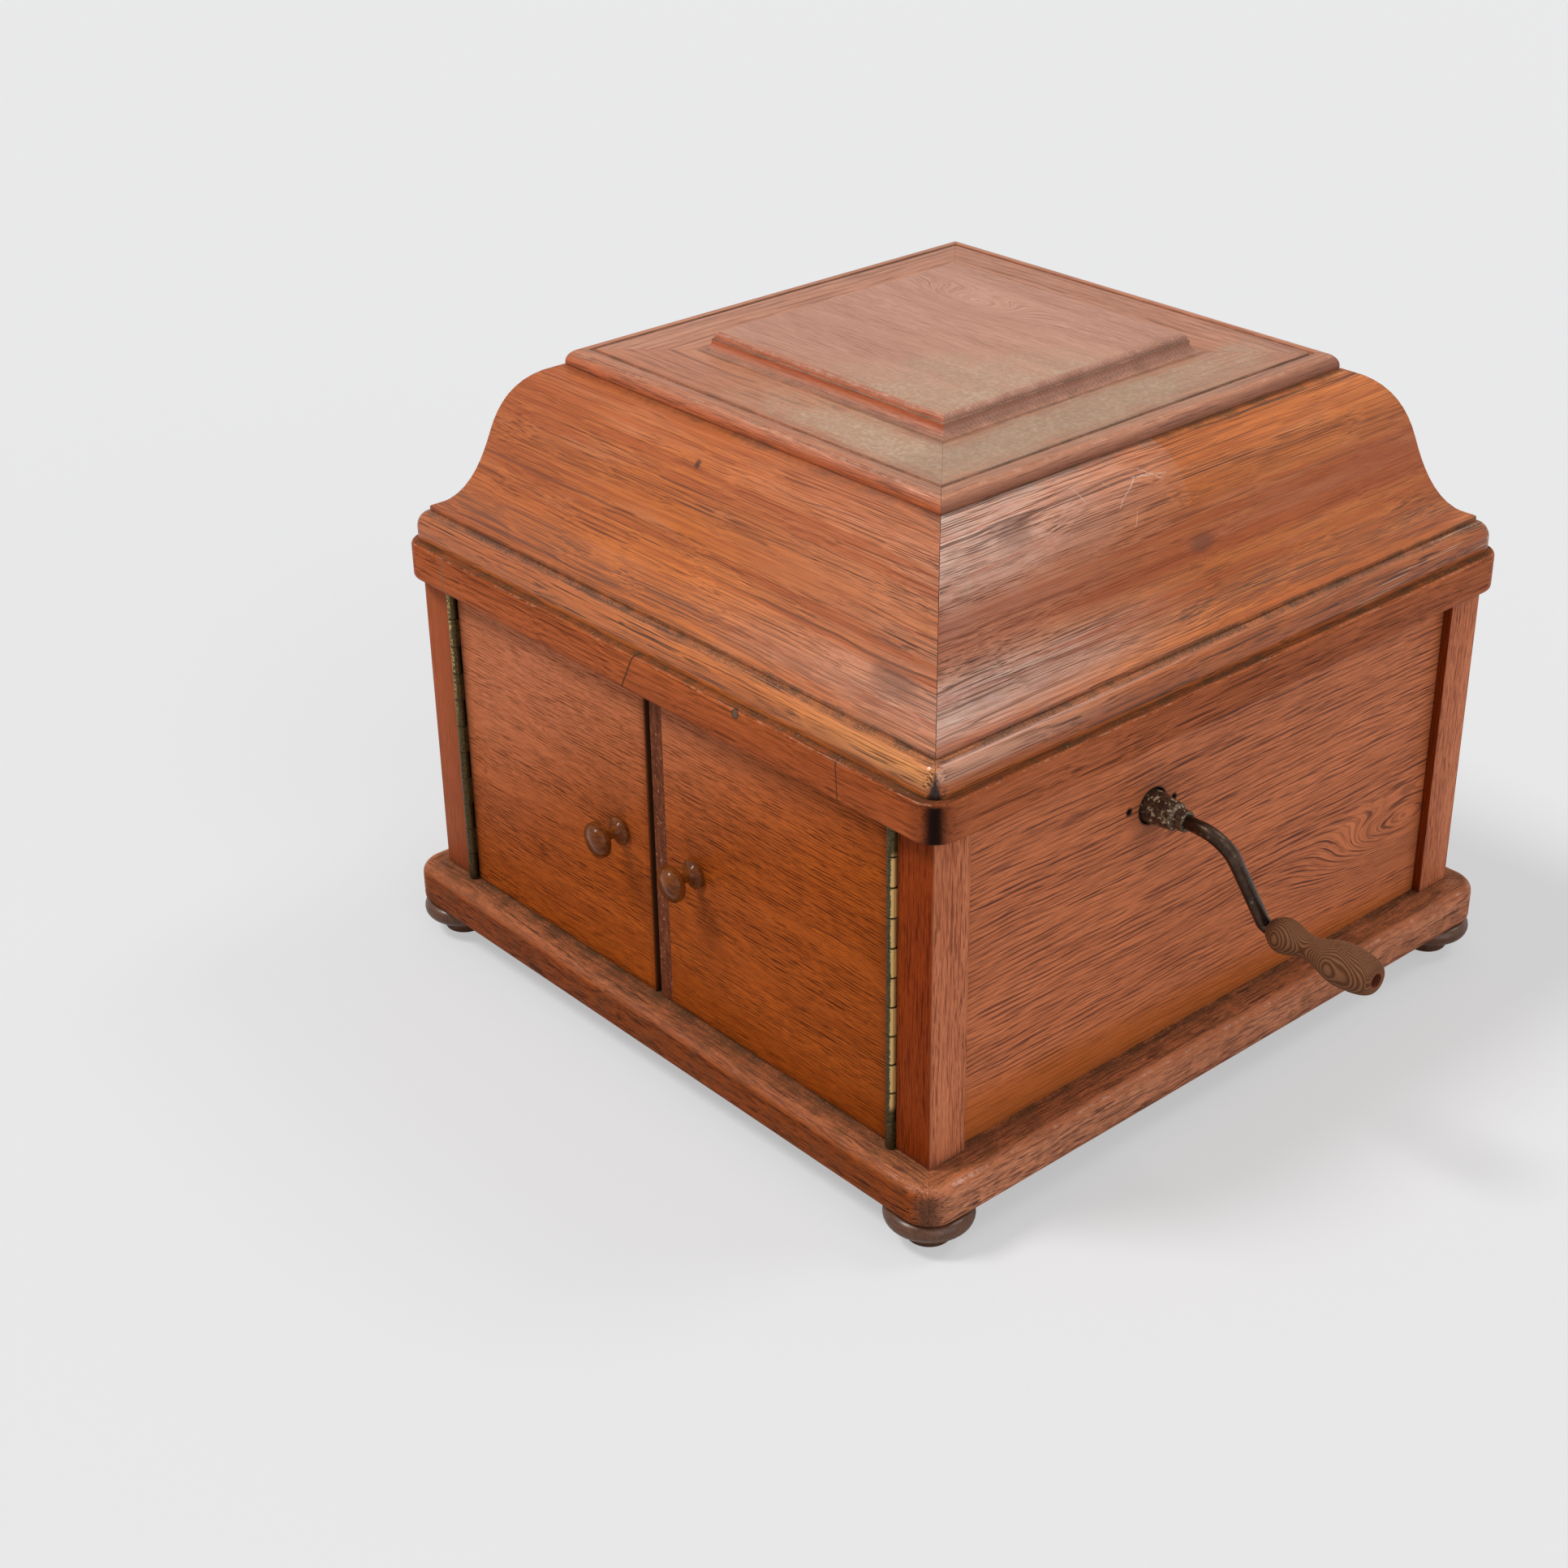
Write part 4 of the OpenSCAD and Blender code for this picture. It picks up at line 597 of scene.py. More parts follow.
def dusty(o, mask, amount):
    """Dust lying along the grain, thin at its limits."""
    s = o.s
    along = s.drawn((o.u, o.v, s.z), (16, 1.6, 4.0), 4.0, 0.7)
    clouds = s.noise(s.pos, 1 / 30, 4.0, 0.65)
    lie = s.add(mask, s.add(s.about(along, 1.1), s.about(clouds, 1.2)))
    lie = s.mul(s.step(lie, 0.10, 1.1), s.step(mask, 0.0, 0.5), amount)
    speck = s.noise(s.pos, 0.5, 2.0, 0.6)
    o.paint(lie, s.mix(s.step(speck, 0.40, 0.66), DUST, PALE_DUST), 0.9)


def make_tray():
    o = Oak("oak_tray", "mitred", 83.0, (0.50, 0.175, 0.078), (0.37, 0.112, 0.042), (0.15, 0.050, 0.028),
            line=(30.0, 0.65), Specular_IOR_Level=0.4)
    s = o.s
    # Painted light and shade: the front faces redder, the sides darker, the top paler
    o.paint_facing_light((1.12, 0.72, 0.36), (0.60, 0.60, 0.66), (1.05, 1.2, 1.35))
    flat = s.step(s.z, Z_TRAY - 1.4, Z_TRAY - 0.1)
    right = s.mul(s.step(s.x, 80.0, 92.0), s.step(s.y, 190.0, 20.0))
    ahead = s.mul(s.step(s.y, -80.0, -92.0), s.step(s.x, -120.0, 90.0))
    inside = s.step(s.absol(s.add(o.out, 86.0)), 24.0, 4.0)
    dusty(o, s.mul(flat, s.most(right, ahead), s.add(s.mul(inside, 0.6), 0.4)), 0.85)
    o.paint(s.mul(flat, right, s.add(s.mul(o.patch, 0.5), 0.05)), (0.22, 0.140, 0.098))
    # Grime and painted shade beside the bead, along the raised panel and under the bead
    o.dirt_and_shade(s.mul(s.band(o.out, -66.5, 0.9, 0.7), s.step(s.z, 333.0, 333.9)), 0.8, (0.10, 0.062, 0.034))
    o.dirt_and_shade(s.mul(flat, s.band(o.out, -103.4, 0.5, 1.6)), 0.7, (0.12, 0.075, 0.042))
    o.dirt_and_shade(s.step(o.jag(s.z, 1.2, True), Z_BEAD + 1.6, Z_BEAD + 0.1), 0.8)
    o.mitre(0.3, 0.4, (0.06, 0.03, 0.018))
    o.wear_and_highlight(s.mul(s.band(o.out, -59.6, 0.5, 0.6), s.step(s.z, 331.0, 333.0)), (0.58, 0.34, 0.22), 0.35)
    return o.finish()


def make_panel():
    o = Oak("oak_panel", "xyz", 93.0, (0.53, 0.250, 0.158), (0.41, 0.178, 0.104), (0.20, 0.088, 0.056),
            eye=(-24.0, 40.0, 22.0, 34.0), pitch=2.4, line=(20.0, 0.55), dark=0.65, hair=0.9, ring=0.07,
            Specular_IOR_Level=0.4)
    s = o.s
    # Painted light and shade: the front faces redder, the side faces darker
    o.paint_facing_light((1.15, 0.62, 0.34), (0.8, 0.8, 0.85), PLAIN)
    top = s.step(s.z, Z_PANEL - 0.9, Z_PANEL - 0.3)
    away = s.radius(s.sub(s.x, 80.0), s.mul(s.add(s.y, 84.0), 0.7))
    dusty(o, s.mul(top, s.step(away, 150.0, 10.0), 0.8), 0.75)
    dusty(o, s.mul(top, s.step(s.x, 40.0, 86.0), s.step(s.y, 100.0, -20.0), 0.6), 0.6)
    edge = s.most(s.sub(s.absol(s.x), W - 104.0), s.sub(s.absol(s.y), D - 104.0))
    # Grime and painted shade at the panel's foot on the tray, and in the groove
    o.dirt_and_shade(s.mul(s.step(s.z, Z_TRAY + 3.0, Z_TRAY + 0.5), 0.6), 0.8, (0.09, 0.054, 0.030))
    groove = s.mul(s.band(s.z, Z_TRAY + 6.0, 0.25, 0.5), s.band(edge, -5.0, 0.8, 0.8))
    o.dirt_and_shade(groove, 0.8, (0.12, 0.075, 0.045))
    o.wear_and_highlight(s.mul(s.band(edge, -6.3, 0.5, 0.5), s.band(s.z, Z_PANEL - 1.4, 0.8, 0.5)), (0.58, 0.40, 0.28), 0.35)
    return o.finish()


def make_inner(name, axes, light, deep, seed):
    """Plain wood for the boards that show when lid or doors stand open."""
    pore = (deep[0] * 0.45, deep[1] * 0.4, deep[2] * 0.4)
    o = Oak(name, axes, seed, light, deep, pore, pitch=9.0, line=(40.0, 1.1), dark=0.5, Specular_IOR_Level=0.25)
    o.rough = o.s.add(o.rough, 0.16)
    o.paint(o.s.mul(o.s.step(o.patch, 0.48, 0.70), 0.3), [c * 0.6 for c in deep], 0.8)
    return o.finish(0.25)


# Other wood, metal, felt and mica


def make_turned(name, light, deep, rough, dome=0.0, **fixed):
    """Turned wood. The dome, in 1/mm, rounds the look of the knobs' heads about their axes."""
    s = Shade(name, **fixed)
    grain = s.drawn((s.x, s.y, s.z), (16, 1.1, 1.1), 3.0, 0.6)
    slow = s.noise(s.pos, 1 / 9, 3.0, 0.6)
    tone = s.add(s.mul(s.step(grain, 0.36, 0.66), 0.6), s.mul(s.step(slow, 0.35, 0.7), 0.4))
    pits = s.step(s.drawn((s.x, s.y, s.z), (6, 0.6, 0.6)), 0.60, 0.70)
    color = s.mix(s.mul(pits, 0.5), s.mix(tone, light, deep), (0.030, 0.010, 0.006))
    height = s.mul(s.sub(s.mul(grain, 0.3), pits), 0.045)
    if dome:
        middle = (KNOB_L + KNOB_R) / 2
        axis = s.lerp(s.step(s.x, middle - 1, middle + 1), KNOB_L, KNOB_R)
        away = s.radius(s.sub(s.x, axis), s.sub(s.z, KNOB_Z))
        height = s.sub(height, s.mul(away, away, dome))
    s.relief(height, 1.0, 0.001)
    return s.done(color, s.add(rough, s.mul(slow, 0.1)))


def make_scraped():
    """The bare seat of a lost cover strip, scraped aslant."""
    s = Shade("scraped_wood", Specular_IOR_Level=0.08)
    lean = s.add(s.z, s.mul(s.x, 0.55))
    fine = s.drawn((lean, s.sub(s.x, s.mul(s.z, 0.15)), 0.0), (0.9, 6.0, 1.0), 3.0, 0.65)
    patch = s.drawn((s.x, 0.0, s.z), (3.0, 1.0, 9.0), 4.0, 0.65)
    color = s.mix(s.step(fine, 0.36, 0.64), (0.165, 0.040, 0.014), (0.070, 0.018, 0.007))
    color = s.mix(s.mul(s.step(patch, 0.46, 0.62), 0.7), color, (0.22, 0.062, 0.020))
    nick = s.step(s.drawn((s.x, 0.0, s.z), (1.6, 1.0, 2.4)), 0.64, 0.70)
    color = s.mix(s.mul(nick, 0.75), color, (0.46, 0.22, 0.12))
    s.relief(s.add(fine, s.mul(patch, 1.5)), 0.6, 0.0005)
    return s.done(color, s.add(0.55, s.mul(fine, 0.25)))


def make_metal(name, bright, dull, rough, tarnish, mottled=7.0, metal=1.0):
    """Metal that has dulled unevenly; tarnish is how much of it shows the dull colour."""
    s = Shade(name, Metallic=metal)
    big = s.noise(s.pos, 1 / mottled, 4.0, 0.65)
    small = s.noise(s.pos, 1.1, 3.0, 0.6)
    patches = s.step(big, 0.62 - tarnish * 0.34, 0.74 - tarnish * 0.2)
    k = s.unit(s.add(s.mul(patches, 0.75), s.about(small, 0.5)))
    s.relief(s.add(small, s.mul(big, 0.6)), 0.12, 0.0002)
    return s.done(s.mix(k, bright, dull), s.add(rough, s.mul(k, 0.22), s.mul(small, 0.08)))


def make_hinge_brass():
    """Barrels gone dark, with bright brass where they are worn by rubbing and as painted highlights."""
    s = Shade("hinge_brass", Metallic=0.85)
    small = s.noise(s.pos, 0.9, 3.0, 0.6)
    long = s.drawn((s.x, s.y, s.z), (10 / 3, 10 / 3, 20), 4.0, 0.65)
    color = s.mix(s.step(small, 0.35, 0.65), (0.100, 0.070, 0.026), (0.045, 0.030, 0.012))
    ragged = s.add(s.sub(s.x, HINGE_X), s.add(s.about(small, 1.6), s.about(long, 1.2)))
    # Bright brass along the right hinge's outer side and flecks on the front of the left one: rubbing and painted
    # highlight
    rubbed_and_highlight = s.mul(s.step(ragged, 1.15, 1.5), s.band(s.z, 130.0, 64.0, 5.0))
    left = s.mul(s.step(s.x, -100.0, -120.0), s.step(s.z, 110.0, 190.0), s.step(small, 0.46, 0.60))
    left = s.mul(left, s.band(s.add(s.x, HINGE_X), 0.2, 0.8, 0.6), s.step(s.ny, -0.3, -0.7))
    # The dark gaps between the eleven knuckles of each hinge
    low, high, knuckles = Z_PLINTH + 0.8, Z_RIM - 1.2, 11
    pitch = (high - low) / knuckles
    along = s.f("FRACT", s.mul(s.sub(s.z, low - pitch / 2), 1 / pitch))
    gap = s.band(along, 0.5, 0.02, 0.03)
    color = s.mix(s.mul(s.least(s.add(rubbed_and_highlight, left), 1.0), s.inv(gap)), color, (0.58, 0.39, 0.15))
    s.relief(small, 0.15, 0.0002)
    return s.done(color, s.add(0.36, s.mul(small, 0.2)))


def make_ferrule():
    s = Shade("ferrule_bronze", Metallic=0.75)
    small = s.noise(s.pos, 0.8, 3.0, 0.6)
    color = s.mix(s.step(small, 0.35, 0.65), (0.16, 0.10, 0.060), (0.045, 0.030, 0.022))
    flecks = s.step(s.noise(s.pos, 0.42, 3.0, 0.55), 0.60, 0.645)
    lit = s.mul(flecks, s.step(s.x, W - 7.0, W - 4.0))
    color = s.mix(lit, color, (0.50, 0.41, 0.27))
    s.relief(s.add(small, s.mul(flecks, 2.0)), 0.3, 0.0003)
    return s.done(color, s.add(0.36, s.mul(small, 0.2), s.mul(lit, 0.3)))


def make_rod():
    s = Shade("rod_bronze", Metallic=0.8)
    small = s.noise(s.pos, 0.7, 4.0, 0.65)
    big = s.noise(s.pos, 1 / 11, 3.0, 0.6)
    k = s.add(s.mul(s.step(big, 0.38, 0.62), 0.6), s.mul(s.step(small, 0.42, 0.66), 0.4))
    color = s.mix(k, (0.078, 0.043, 0.026), (0.028, 0.016, 0.010))
    rub = s.step(s.noise(s.pos, 0.33, 2.0), 0.64, 0.74)
    color = s.mix(s.mul(rub, 0.5), color, (0.24, 0.20, 0.17))
    s.relief(small, 0.25, 0.0003)
    return s.done(color, s.add(0.24, s.mul(small, 0.2)))


def make_felt():
    s = Shade("felt", Specular_IOR_Level=0.1, Sheen_Weight=0.6, Sheen_Roughness=0.5)
    nap = s.noise(s.pos, 1.6, 4.0, 0.7)
    worn = s.noise(s.pos, 1 / 45, 4.0, 0.6)
    color = s.mix(s.step(nap, 0.34, 0.68), (0.060, 0.085, 0.040), (0.030, 0.045, 0.022))
    color = s.mix(s.mul(s.step(worn, 0.45, 0.7), 0.45), color, (0.11, 0.105, 0.065))
    s.relief(nap, 0.7, 0.0006)
    return s.done(color, s.add(0.85, s.mul(nap, 0.1)))


def make_mica():
    s = Shade("mica", Coat_Weight=0.5, Coat_Roughness=0.1)
    flake = s.noise(s.pos, 0.25, 4.0, 0.6)
    color = s.mix(s.step(flake, 0.35, 0.65), (0.62, 0.57, 0.42), (0.42, 0.36, 0.24))
    s.relief(flake, 0.1, 0.0002)
    return s.done(color, s.add(0.18, s.mul(flake, 0.15)))


def make_grip():
    """Weathered soft wood; the rings are also in the piece's own relief."""
    s = Shade("grip_wood", Specular_IOR_Level=0.05)
    ring, heart = s.value("ring"), s.value("heart")
    fibre = s.drawn((s.x, s.y, s.z), (25 / 3, 5 / 7, 5 / 7), 3.0, 0.6)
    slow = s.noise(s.pos, 1 / 12, 3.0, 0.6)
    color = s.mix(s.step(ring, 0.25, 0.8), (0.092, 0.034, 0.015), (0.195, 0.085, 0.040))
    color = s.mix(s.mul(s.step(fibre, 0.5, 0.75), 0.4), color, (0.11, 0.050, 0.030))
    color = s.mix(s.mul(heart, 0.7), color, (0.22, 0.055, 0.027))
    color = s.mix(s.mul(s.step(slow, 0.5, 0.75), 0.35), color, (0.17, 0.085, 0.055))
    s.relief(s.add(s.mul(ring, 0.7), s.mul(fibre, 0.5)), 0.3, 0.0003)
    return s.done(color, s.add(0.5, s.mul(fibre, 0.25)))


# Which node has which material

MATS = {
    "plinth_rails": make_plinth(),
    "corner_posts": make_posts(),
    "side_panel_right": make_side("oak_side_right", 3.0, (153.0, 86.0, 30.0, 64.0), crank=True),
    "side_panel_left": make_side("oak_side_left", 47.0, (-70.0, 118.0, 26.0, 60.0)),
    "back_panel": make_back(),
    "rim_rails": make_rim(),
    "lid_base_frame": make_base(),
    "lid_ogee_boards": make_ogee(),
    "lid_tray_frame": make_tray(),
    "lid_panel": make_panel(),
    "feet": make_turned("foot_wood", (0.125, 0.050, 0.022), (0.060, 0.022, 0.010), 0.30,
                        Specular_IOR_Level=0.3, Coat_Weight=0.1, Coat_Roughness=0.16),
    "motor_board": make_inner("board_wood", "xyz", (0.30, 0.105, 0.042), (0.19, 0.058, 0.024), 27.0),
    "door_scraped_strip": make_scraped(),
    "crank_ferrule": make_ferrule(),
    "crank_arm": make_rod(),
    "crank_grip": make_grip(),
    "turntable_mat": make_felt(),
    "diaphragm": make_mica(),
}
knobs = make_turned("knob_wood", (0.215, 0.056, 0.009), (0.080, 0.018, 0.003), 0.10, 0.05,
                    Specular_IOR_Level=0.15)
inner_x = make_inner("inner_wood_x", "xzy", (0.44, 0.27, 0.13), (0.30, 0.165, 0.072), 15.0)
inner_y = make_inner("inner_wood_y", "yxz", (0.42, 0.25, 0.12), (0.28, 0.15, 0.066), 19.0)
brass = make_metal("brass", (0.52, 0.37, 0.15), (0.22, 0.145, 0.06), 0.32, 0.55)
steel = make_metal("steel", (0.56, 0.55, 0.53), (0.22, 0.20, 0.18), 0.30, 0.35, 14.0)
nickel = make_metal("nickel", (0.70, 0.67, 0.62), (0.36, 0.32, 0.26), 0.16, 0.3, 16.0)
iron = make_metal("iron", (0.045, 0.042, 0.040), (0.085, 0.066, 0.052), 0.42, 0.5, 9.0, 0.5)
for material, names in (
    (make_doors(), ("door_left", "door_right")),
    (knobs, ("door_left_knob", "door_right_knob")),
    (inner_x, ("base_board", "baffle_board", "board_cleats")),
    (inner_y, ("horn_roof", "horn_sides")),
    (make_hinge_brass(), ("door_hinge_post_leaves", "door_left_hinge", "door_right_hinge")),
    (brass, ("lid_hinge_lower", "lid_hinge_upper", "needle_cups", "winding_wheel", "intermediate_arbor",
             "governor_shaft")),
    (steel, ("hinge_pins", "motor_top_plate", "motor_bottom_plate", "motor_pillars", "motor_bolts",
             "winding_shaft", "spring_barrel", "barrel_cap", "mainspring", "governor_springs",
             "turntable_spindle", "turntable", "lid_stay", "needle_bar", "brake_lever")),
    (nickel, ("tonearm_tube", "gooseneck", "sound_box")),
    (iron, ("throat_elbow", "motor_spacers", "winding_bracket", "governor_bracket", "tonearm_base",
            "speed_dial")),
):
    MATS.update(dict.fromkeys(names, material))


# Smooth shading that keeps edges above an angle, and eased arrises

KEEP_ANGLE, EASE_ANGLE = math.radians(29), math.radians(35)
# Points closer than this, in metres, are taken as one
WELD = 2e-6
# Widths of the eased arrises, in millimetres
EASED = {
    "corner_posts": 0.8, "door_left": 0.7, "door_right": 0.7, "plinth_rails": 0.5, "rim_rails": 0.5,
    "lid_base_frame": 0.4, "lid_ogee_boards": 0.5, "lid_tray_frame": 0.3, "lid_panel": 0.3, "feet": 0.5,
    "turntable": 0.4, "turntable_mat": 0.4, "tonearm_base": 0.6, "speed_dial": 0.6, "brake_lever": 0.4,
    "sound_box": 0.5, "needle_cups": 0.3, "crank_ferrule": 0.3, "baffle_board": 0.8, "motor_top_plate": 0.4,
    "motor_bolts": 0.5,
}


def angle_group():
    g = bpy.data.node_groups.new("smooth_by_angle", "GeometryNodeTree")
    for way in ("INPUT", "OUTPUT"):
        g.interface.new_socket("Geometry", in_out=way, socket_type="NodeSocketGeometry")
    start, end = g.nodes.new("NodeGroupInput"), g.nodes.new("NodeGroupOutput")
    faces, edges = (g.nodes.new("GeometryNodeSetShadeSmooth") for _ in range(2))
    faces.domain, edges.domain = "FACE", "EDGE"
    edges.inputs["Shade Smooth"].default_value = False
    angle = g.nodes.new("GeometryNodeInputMeshEdgeAngle")
    over = g.nodes.new("FunctionNodeCompare")
    over.operation = "GREATER_THAN"
    over.inputs[1].default_value = KEEP_ANGLE
    g.links.new(start.outputs[0], faces.inputs[0])
    g.links.new(faces.outputs[0], edges.inputs[0])
    g.links.new(angle.outputs[0], over.inputs[0])
    g.links.new(over.outputs[0], edges.inputs["Selection"])
    g.links.new(edges.outputs[0], end.inputs[0])
    return g


smooth = angle_group()
for name, obj in nodes.items():
    if obj.data.has_custom_normals:
        obj.data.attributes.remove(obj.data.attributes["custom_normal"])
    obj.data.materials.clear()
    obj.data.materials.append(MATS[name])
    obj.modifiers.new("weld", "WELD").merge_threshold = WELD
    if name in EASED:
        bevel = obj.modifiers.new("eased", "BEVEL")
        bevel.width = EASED[name] / MM
        bevel.segments = 2
        bevel.limit_method = "ANGLE"
        bevel.angle_limit = EASE_ANGLE
        bevel.use_clamp_overlap = True
    obj.modifiers.new("smooth", "NODES").node_group = smooth


# Added pieces


def piece(name, bm, body, mat):
    """An object from a finished bmesh, riding on a body."""
    mesh = bpy.data.meshes.new(name)
    bm.to_mesh(mesh)
    bm.free()
    obj = bpy.data.objects.new(name, mesh)
    scene.collection.objects.link(obj)
    mesh.materials.append(mat)
    for p in mesh.polygons:
        p.use_smooth = True
    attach(obj, body)
    obj.modifiers.new("smooth", "NODES").node_group = smooth
    return obj


def join_loops(bm, loops):
    """Faces between each closed loop of points and the next."""
    count = len(loops[0])
    for a, b in zip(loops, loops[1:]):
        for k in range(count):
            n = (k + 1) % count
            bm.faces.new((a[k], a[n], b[n], b[k]))


# Where the grip's collar, neck and belly lie as shares of its length, and its radii there and at its ends
COLLAR, NECK, BELLY = 0.13, 0.36, 0.7
BELLY_R = 10.5
COLLAR_R, NECK_R = BELLY_R * 0.83, BELLY_R * 0.57
START_R, END_R, BORE_R = 4.9, 5.6, 3.55
# The stick's pith beside the grip's axis (y, z and lean), its rings' width, and how deep the soft wood lies
PITH_Y, PITH_Z, PITH_LEAN = 15.5, -3.0, 0.05
RING_WIDTH, RING_RISE, RING_DEPTH = 0.7, 0.72, 0.24
# A redder layer: how far from the pith, and its half width; and its strength in the bore
HEART_AT, HEART_HALF, HEART_IN_BORE = 5.6, 1.4, 0.9


def ease(a, b, t):
    return a + (b - a) * (1 - math.cos(math.pi * t)) / 2


def grip_radius(t):
    if t < COLLAR:
        return START_R + (COLLAR_R - START_R) * math.sin(math.pi / 2 * t / COLLAR)
    if t < NECK:
        return ease(COLLAR_R, NECK_R, (t - COLLAR) / (NECK - COLLAR))
    if t < BELLY:
        return ease(NECK_R, BELLY_R, (t - NECK) / (BELLY - NECK))
    fall = (t - BELLY) / (1 - BELLY)
    return END_R + (BELLY_R - END_R) * math.sqrt(max(0.0, 1 - fall ** 2.6))


def grip_rings(x, y, z):
    """Growth rings where the turning cuts them: 1 on the hard lines, and the distance from the pith."""
    away = math.hypot(y - PITH_Y, z - PITH_Z - PITH_LEAN * x)
    away += 0.35 * math.sin(x * 0.21) + 0.2 * math.sin(x * 0.47 + y)
    phase = away / RING_WIDTH % 1.0
    return phase / RING_RISE if phase < RING_RISE else (1.0 - phase) / (1.0 - RING_RISE), away


def make_grip_piece():
    """The turned grip with its rings standing in relief, on the same axis and profile as the CAD grip."""
    lo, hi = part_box("crank_grip")
    axis_y, axis_z = (lo.y + hi.y) / 2, (lo.z + hi.z) / 2
    x0, length = lo.x, (hi.x - lo.x) * MM
    around, rows = 160, 150
    bm = bmesh.new()
    ring_layer = bm.verts.layers.float.new("ring")
    heart_layer = bm.verts.layers.float.new("heart")

    def point(t, r, k, bore=False):
        c, s = math.cos(2 * math.pi * k / around), math.sin(2 * math.pi * k / around)
        ring, away = grip_rings(t * length, r * c, r * s)
        r = r if bore else r - RING_DEPTH * (1.0 - ring)
        v = bm.verts.new((x0 + t * length / MM, axis_y + r * c / MM, axis_z + r * s / MM))
        v[ring_layer] = ring
        v[heart_layer] = HEART_IN_BORE if bore else max(0.0, 1.0 - abs(away - HEART_AT) / HEART_HALF)
        return v

    outer = [[point(i / rows, grip_radius(i / rows), k) for k in range(around)] for i in range(rows + 1)]
    bore = [[point(t, BORE_R, k, True) for k in range(around)] for t in (1.0, 0.5, 0.0)]
    join_loops(bm, outer + bore + [outer[0]])
    bmesh.ops.recalc_face_normals(bm, faces=bm.faces)
    obj = piece("crank_grip_turned", bm, "grip", MATS["crank_grip"])
    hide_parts("crank_grip")


make_grip_piece()

# Screw heads: radius and rise, then the dome's loops as shares of both, and the slot's half width and floor
SCREW_R, SCREW_RISE, SCREW_SIDES = 1.9, 0.35, 20
SCREW_LOOPS = ((1.0, 0.0), (0.96, 0.55), (0.8, 0.85), (0.5, 1.0))
SLOT_HALF, SLOT_FLOOR = SCREW_R * 0.14, SCREW_RISE * 0.25


def screw_heads(name, spots, body, mat):
    """Slotted wood-screw heads; spots are (place, outward direction) about the cabinet's middle."""
    bm = bmesh.new()
    for i, ((x, y, z), way) in enumerate(spots):
        turn = Vector((0, 0, 1)).rotation_difference(Vector(way)).to_matrix().to_4x4()
        spin = Matrix.Rotation(0.7 + 1.9 * i, 4, "Z")
        where = Matrix.Translation(Vector((x + MID_X, y, z)) / MM)
        loops = []
        for out, up in SCREW_LOOPS:
            row = []
            for k in range(SCREW_SIDES):
                a = 2 * math.pi * k / SCREW_SIDES
                p = Vector((SCREW_R * out * math.cos(a), SCREW_R * out * math.sin(a), SCREW_RISE * up))
                if abs(p.y) < SLOT_HALF and up > 0.5:
                    p.z = SLOT_FLOOR
                row.append(bm.verts.new(where @ turn @ spin @ (p / MM)))
            loops.append(row)
        join_loops(bm, loops)
        bm.faces.new(loops[-1])
        bm.faces.new(list(reversed(loops[0])))
    piece(name, bm, body, mat)


# Screws in the leaves of the piano hinges, on the faces that show when a door stands open
POST_LEAF_X, DOOR_LEAF_X, LEAF_Y = HINGE_X + 1.5, HINGE_X - 1.5, HINGE_Y + 9.5
heights = [60.0 + 34.0 * i for i in range(5)]
on_posts = [((s * POST_LEAF_X, LEAF_Y, z), (-s, 0, 0)) for s in (-1, 1) for z in heights]
screw_heads("hinge_screws_posts", on_posts, "cabinet", brass)
for hand, s in (("left", -1), ("right", 1)):
    on_door = [((s * DOOR_LEAF_X, LEAF_Y, z + 8), (s, 0, 0)) for z in heights]
    screw_heads(f"hinge_screws_{hand}_door", on_door, f"{hand}_door", brass)


# Stage, light and camera

FLOOR_COLOR, FLOOR_HALF = (0.72, 0.72, 0.722), 30
# For the camera the paper is partly lit from below, so that the shadow on it stays light
GLOW_SHARE, GLOW_GAIN = 0.55, 1.12


def floor_material():
    s = Shade("floor_paper", Specular_IOR_Level=0.2)
    soft = s.noise(s.pos, 1 / 900, 2.0, 0.5)
    mat = s.done(s.mix(soft, [c * 0.985 for c in FLOOR_COLOR], FLOOR_COLOR), 0.7)
    glow, path, mix = new_nodes(s.tree, "Emission", "LightPath", "MixShader")
    glow.inputs[0].default_value = (*[c * GLOW_GAIN for c in FLOOR_COLOR], 1)
    s.put(mix.inputs[0], s.mul(path.outputs["Is Camera Ray"], GLOW_SHARE))
    s.put(mix.inputs[1], s.bsdf.outputs[0])
    s.put(mix.inputs[2], glow.outputs[0])
    s.put(s.tree.nodes["Material Output"].inputs[0], mix.outputs[0])
    return mat


floor_mesh = bpy.data.meshes.new("floor")
corners = [(x * FLOOR_HALF, y * FLOOR_HALF, 0) for x, y in ((-1, -1), (1, -1), (1, 1), (-1, 1))]
floor_mesh.from_pydata(corners, [], [(0, 1, 2, 3)])
floor = bpy.data.objects.new("floor", floor_mesh)
scene.collection.objects.link(floor)
floor_mesh.materials.append(floor_material())


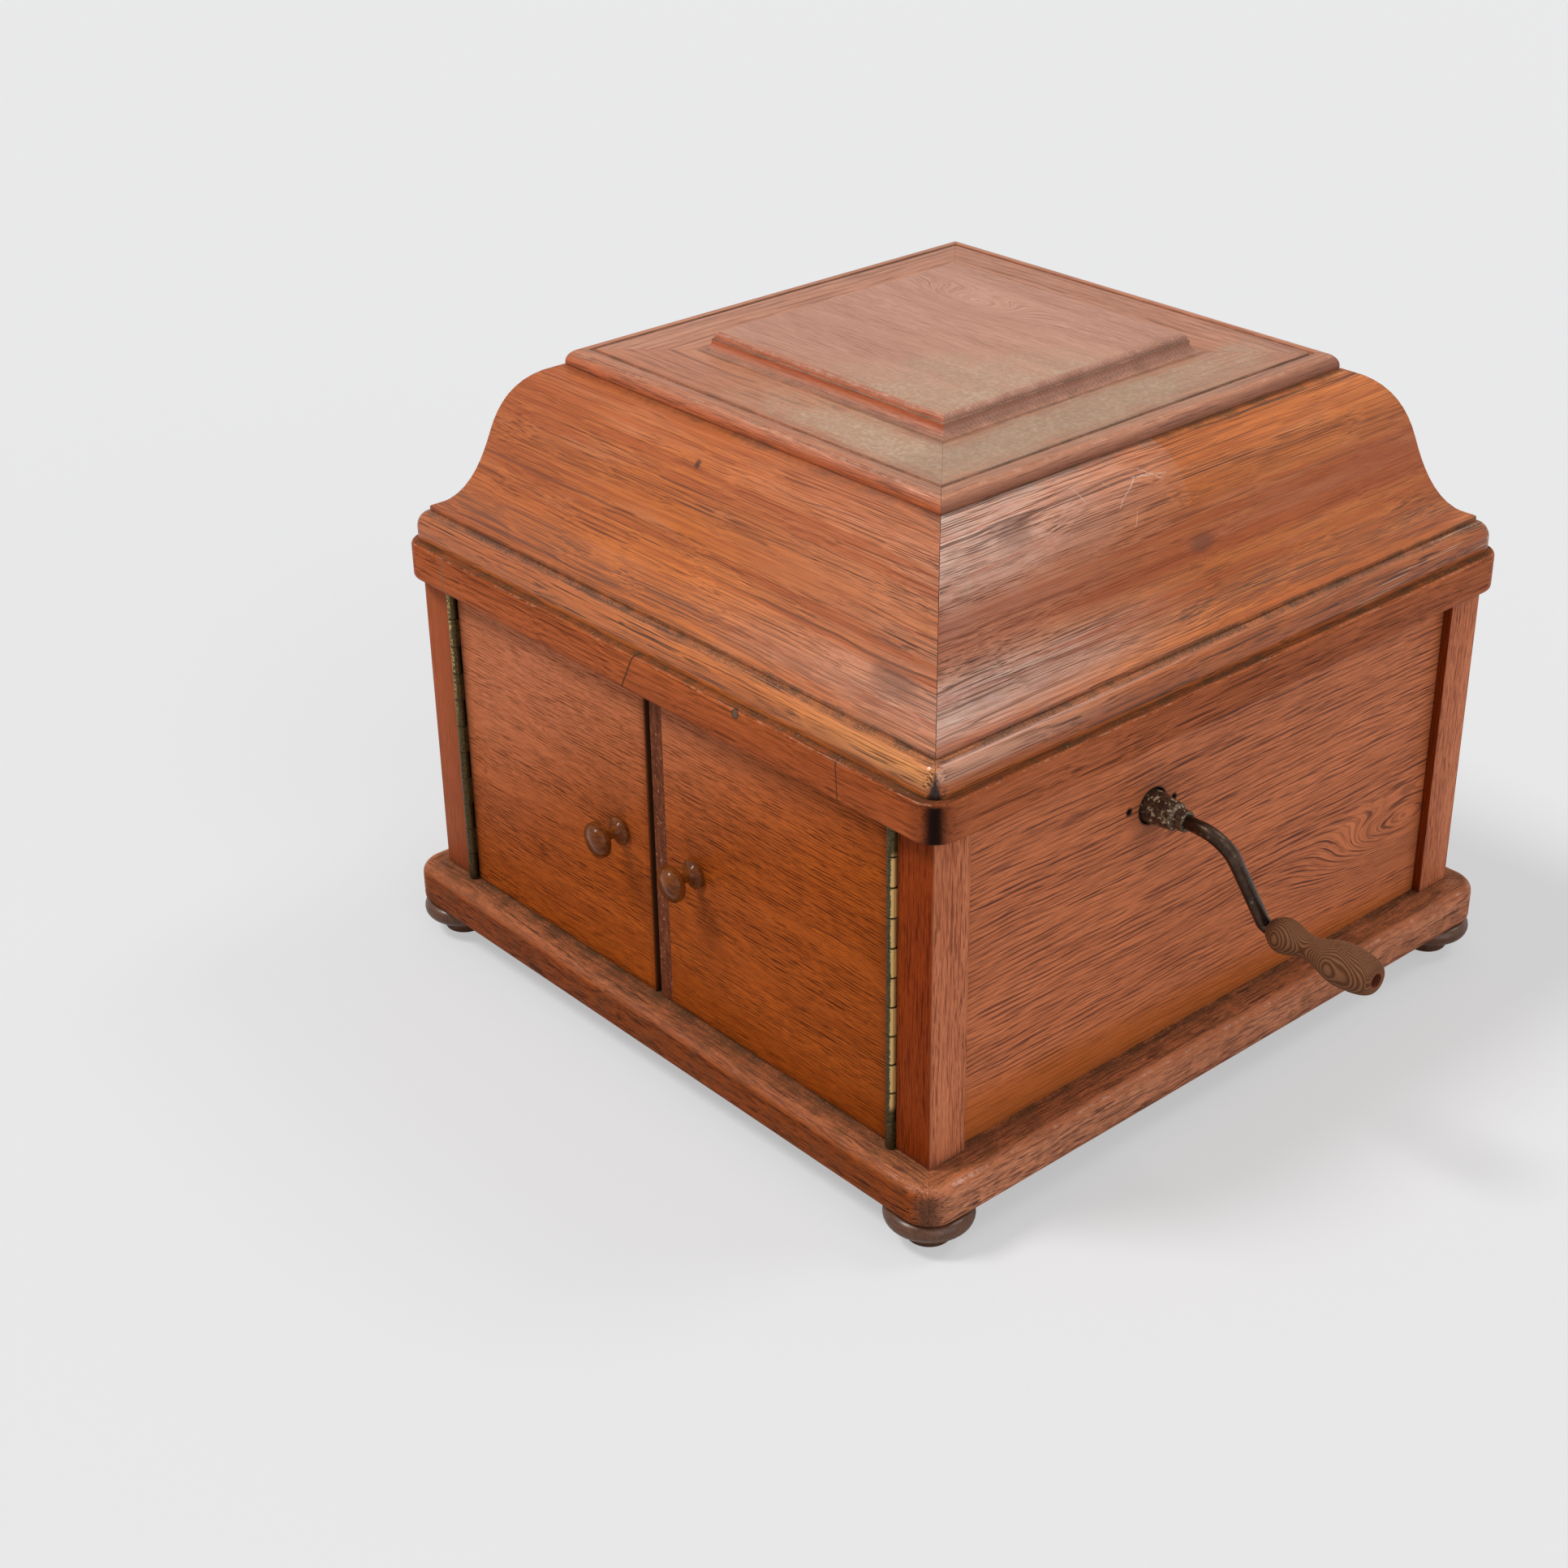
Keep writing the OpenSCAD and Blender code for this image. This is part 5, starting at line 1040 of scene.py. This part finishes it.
def make_world():
    """Soft light from all round, and a paler backdrop for the camera, mirrors and glass."""
    world = scene.world = bpy.data.worlds.new("studio")
    world.use_nodes = True
    t = world.node_tree
    t.nodes.clear()
    out, lit, seen, path, mix = new_nodes(
        t, "OutputWorld", "Background", "Background", "LightPath", "MixShader")
    lit.inputs[0].default_value, lit.inputs[1].default_value = (0.93, 0.95, 1.0, 1), 0.36
    seen.inputs[0].default_value, seen.inputs[1].default_value = (0.84, 0.84, 0.842, 1), 1.0
    ray = path.outputs["Is Camera Ray"]
    for kind in ("Is Glossy Ray", "Is Transmission Ray"):
        either, = new_nodes(t, "Math")
        either.operation = "MAXIMUM"
        t.links.new(ray, either.inputs[0])
        t.links.new(path.outputs[kind], either.inputs[1])
        ray = either.outputs[0]
    for i, socket in enumerate((ray, lit.outputs[0], seen.outputs[0])):
        t.links.new(socket, mix.inputs[i])
    t.links.new(mix.outputs[0], out.inputs[0])


def lamp(name, direction, strength, spread):
    """A distant soft light that shines from the given direction; spread is in degrees."""
    data = bpy.data.lights.new(name, "SUN")
    data.energy = strength
    data.angle = math.radians(spread)
    obj = bpy.data.objects.new(name, data)
    obj.rotation_mode = "QUATERNION"
    obj.rotation_quaternion = Vector(direction).to_track_quat("Z", "Y")
    scene.collection.objects.link(obj)


make_world()
lamp("key", (-0.36, -0.50, 0.92), 2.0, 16)
lamp("top_back", (0.25, 0.55, 0.80), 0.6, 20)
lamp("side", (0.85, -0.10, 0.45), 0.85, 50)

# The camera as fitted to the photo: focal length and picture's width in pixels, sensor's width in
# millimetres, angles in degrees and place in metres
FOCAL, PICTURE, SENSOR = 3192.71, 1932, 36.0
AZIMUTH, ELEVATION, ROLL = (math.radians(v) for v in (49.33, 28.54, -0.99))
PLACE = (0.82195, -0.85723, 0.75663)

cam_data = bpy.data.cameras.new("camera")
cam_data.sensor_width = SENSOR
cam_data.lens = FOCAL / PICTURE * SENSOR
cam_data.clip_end = 100
camera = bpy.data.objects.new("camera", cam_data)
level = math.cos(ELEVATION)
back = Vector((math.sin(AZIMUTH) * level, -math.cos(AZIMUTH) * level, math.sin(ELEVATION)))
flat = Vector((0, 0, 1)).cross(back).normalized()
upright = back.cross(flat)
right = flat * math.cos(ROLL) + upright * math.sin(ROLL)
up = upright * math.cos(ROLL) - flat * math.sin(ROLL)
rows = [(right[i], up[i], back[i], PLACE[i]) for i in range(3)]
camera.matrix_world = Matrix((*rows, (0, 0, 0, 1)))
scene.collection.objects.link(camera)
scene.camera = camera
scene.view_settings.view_transform = "Standard"

bpy.context.view_layer.update()
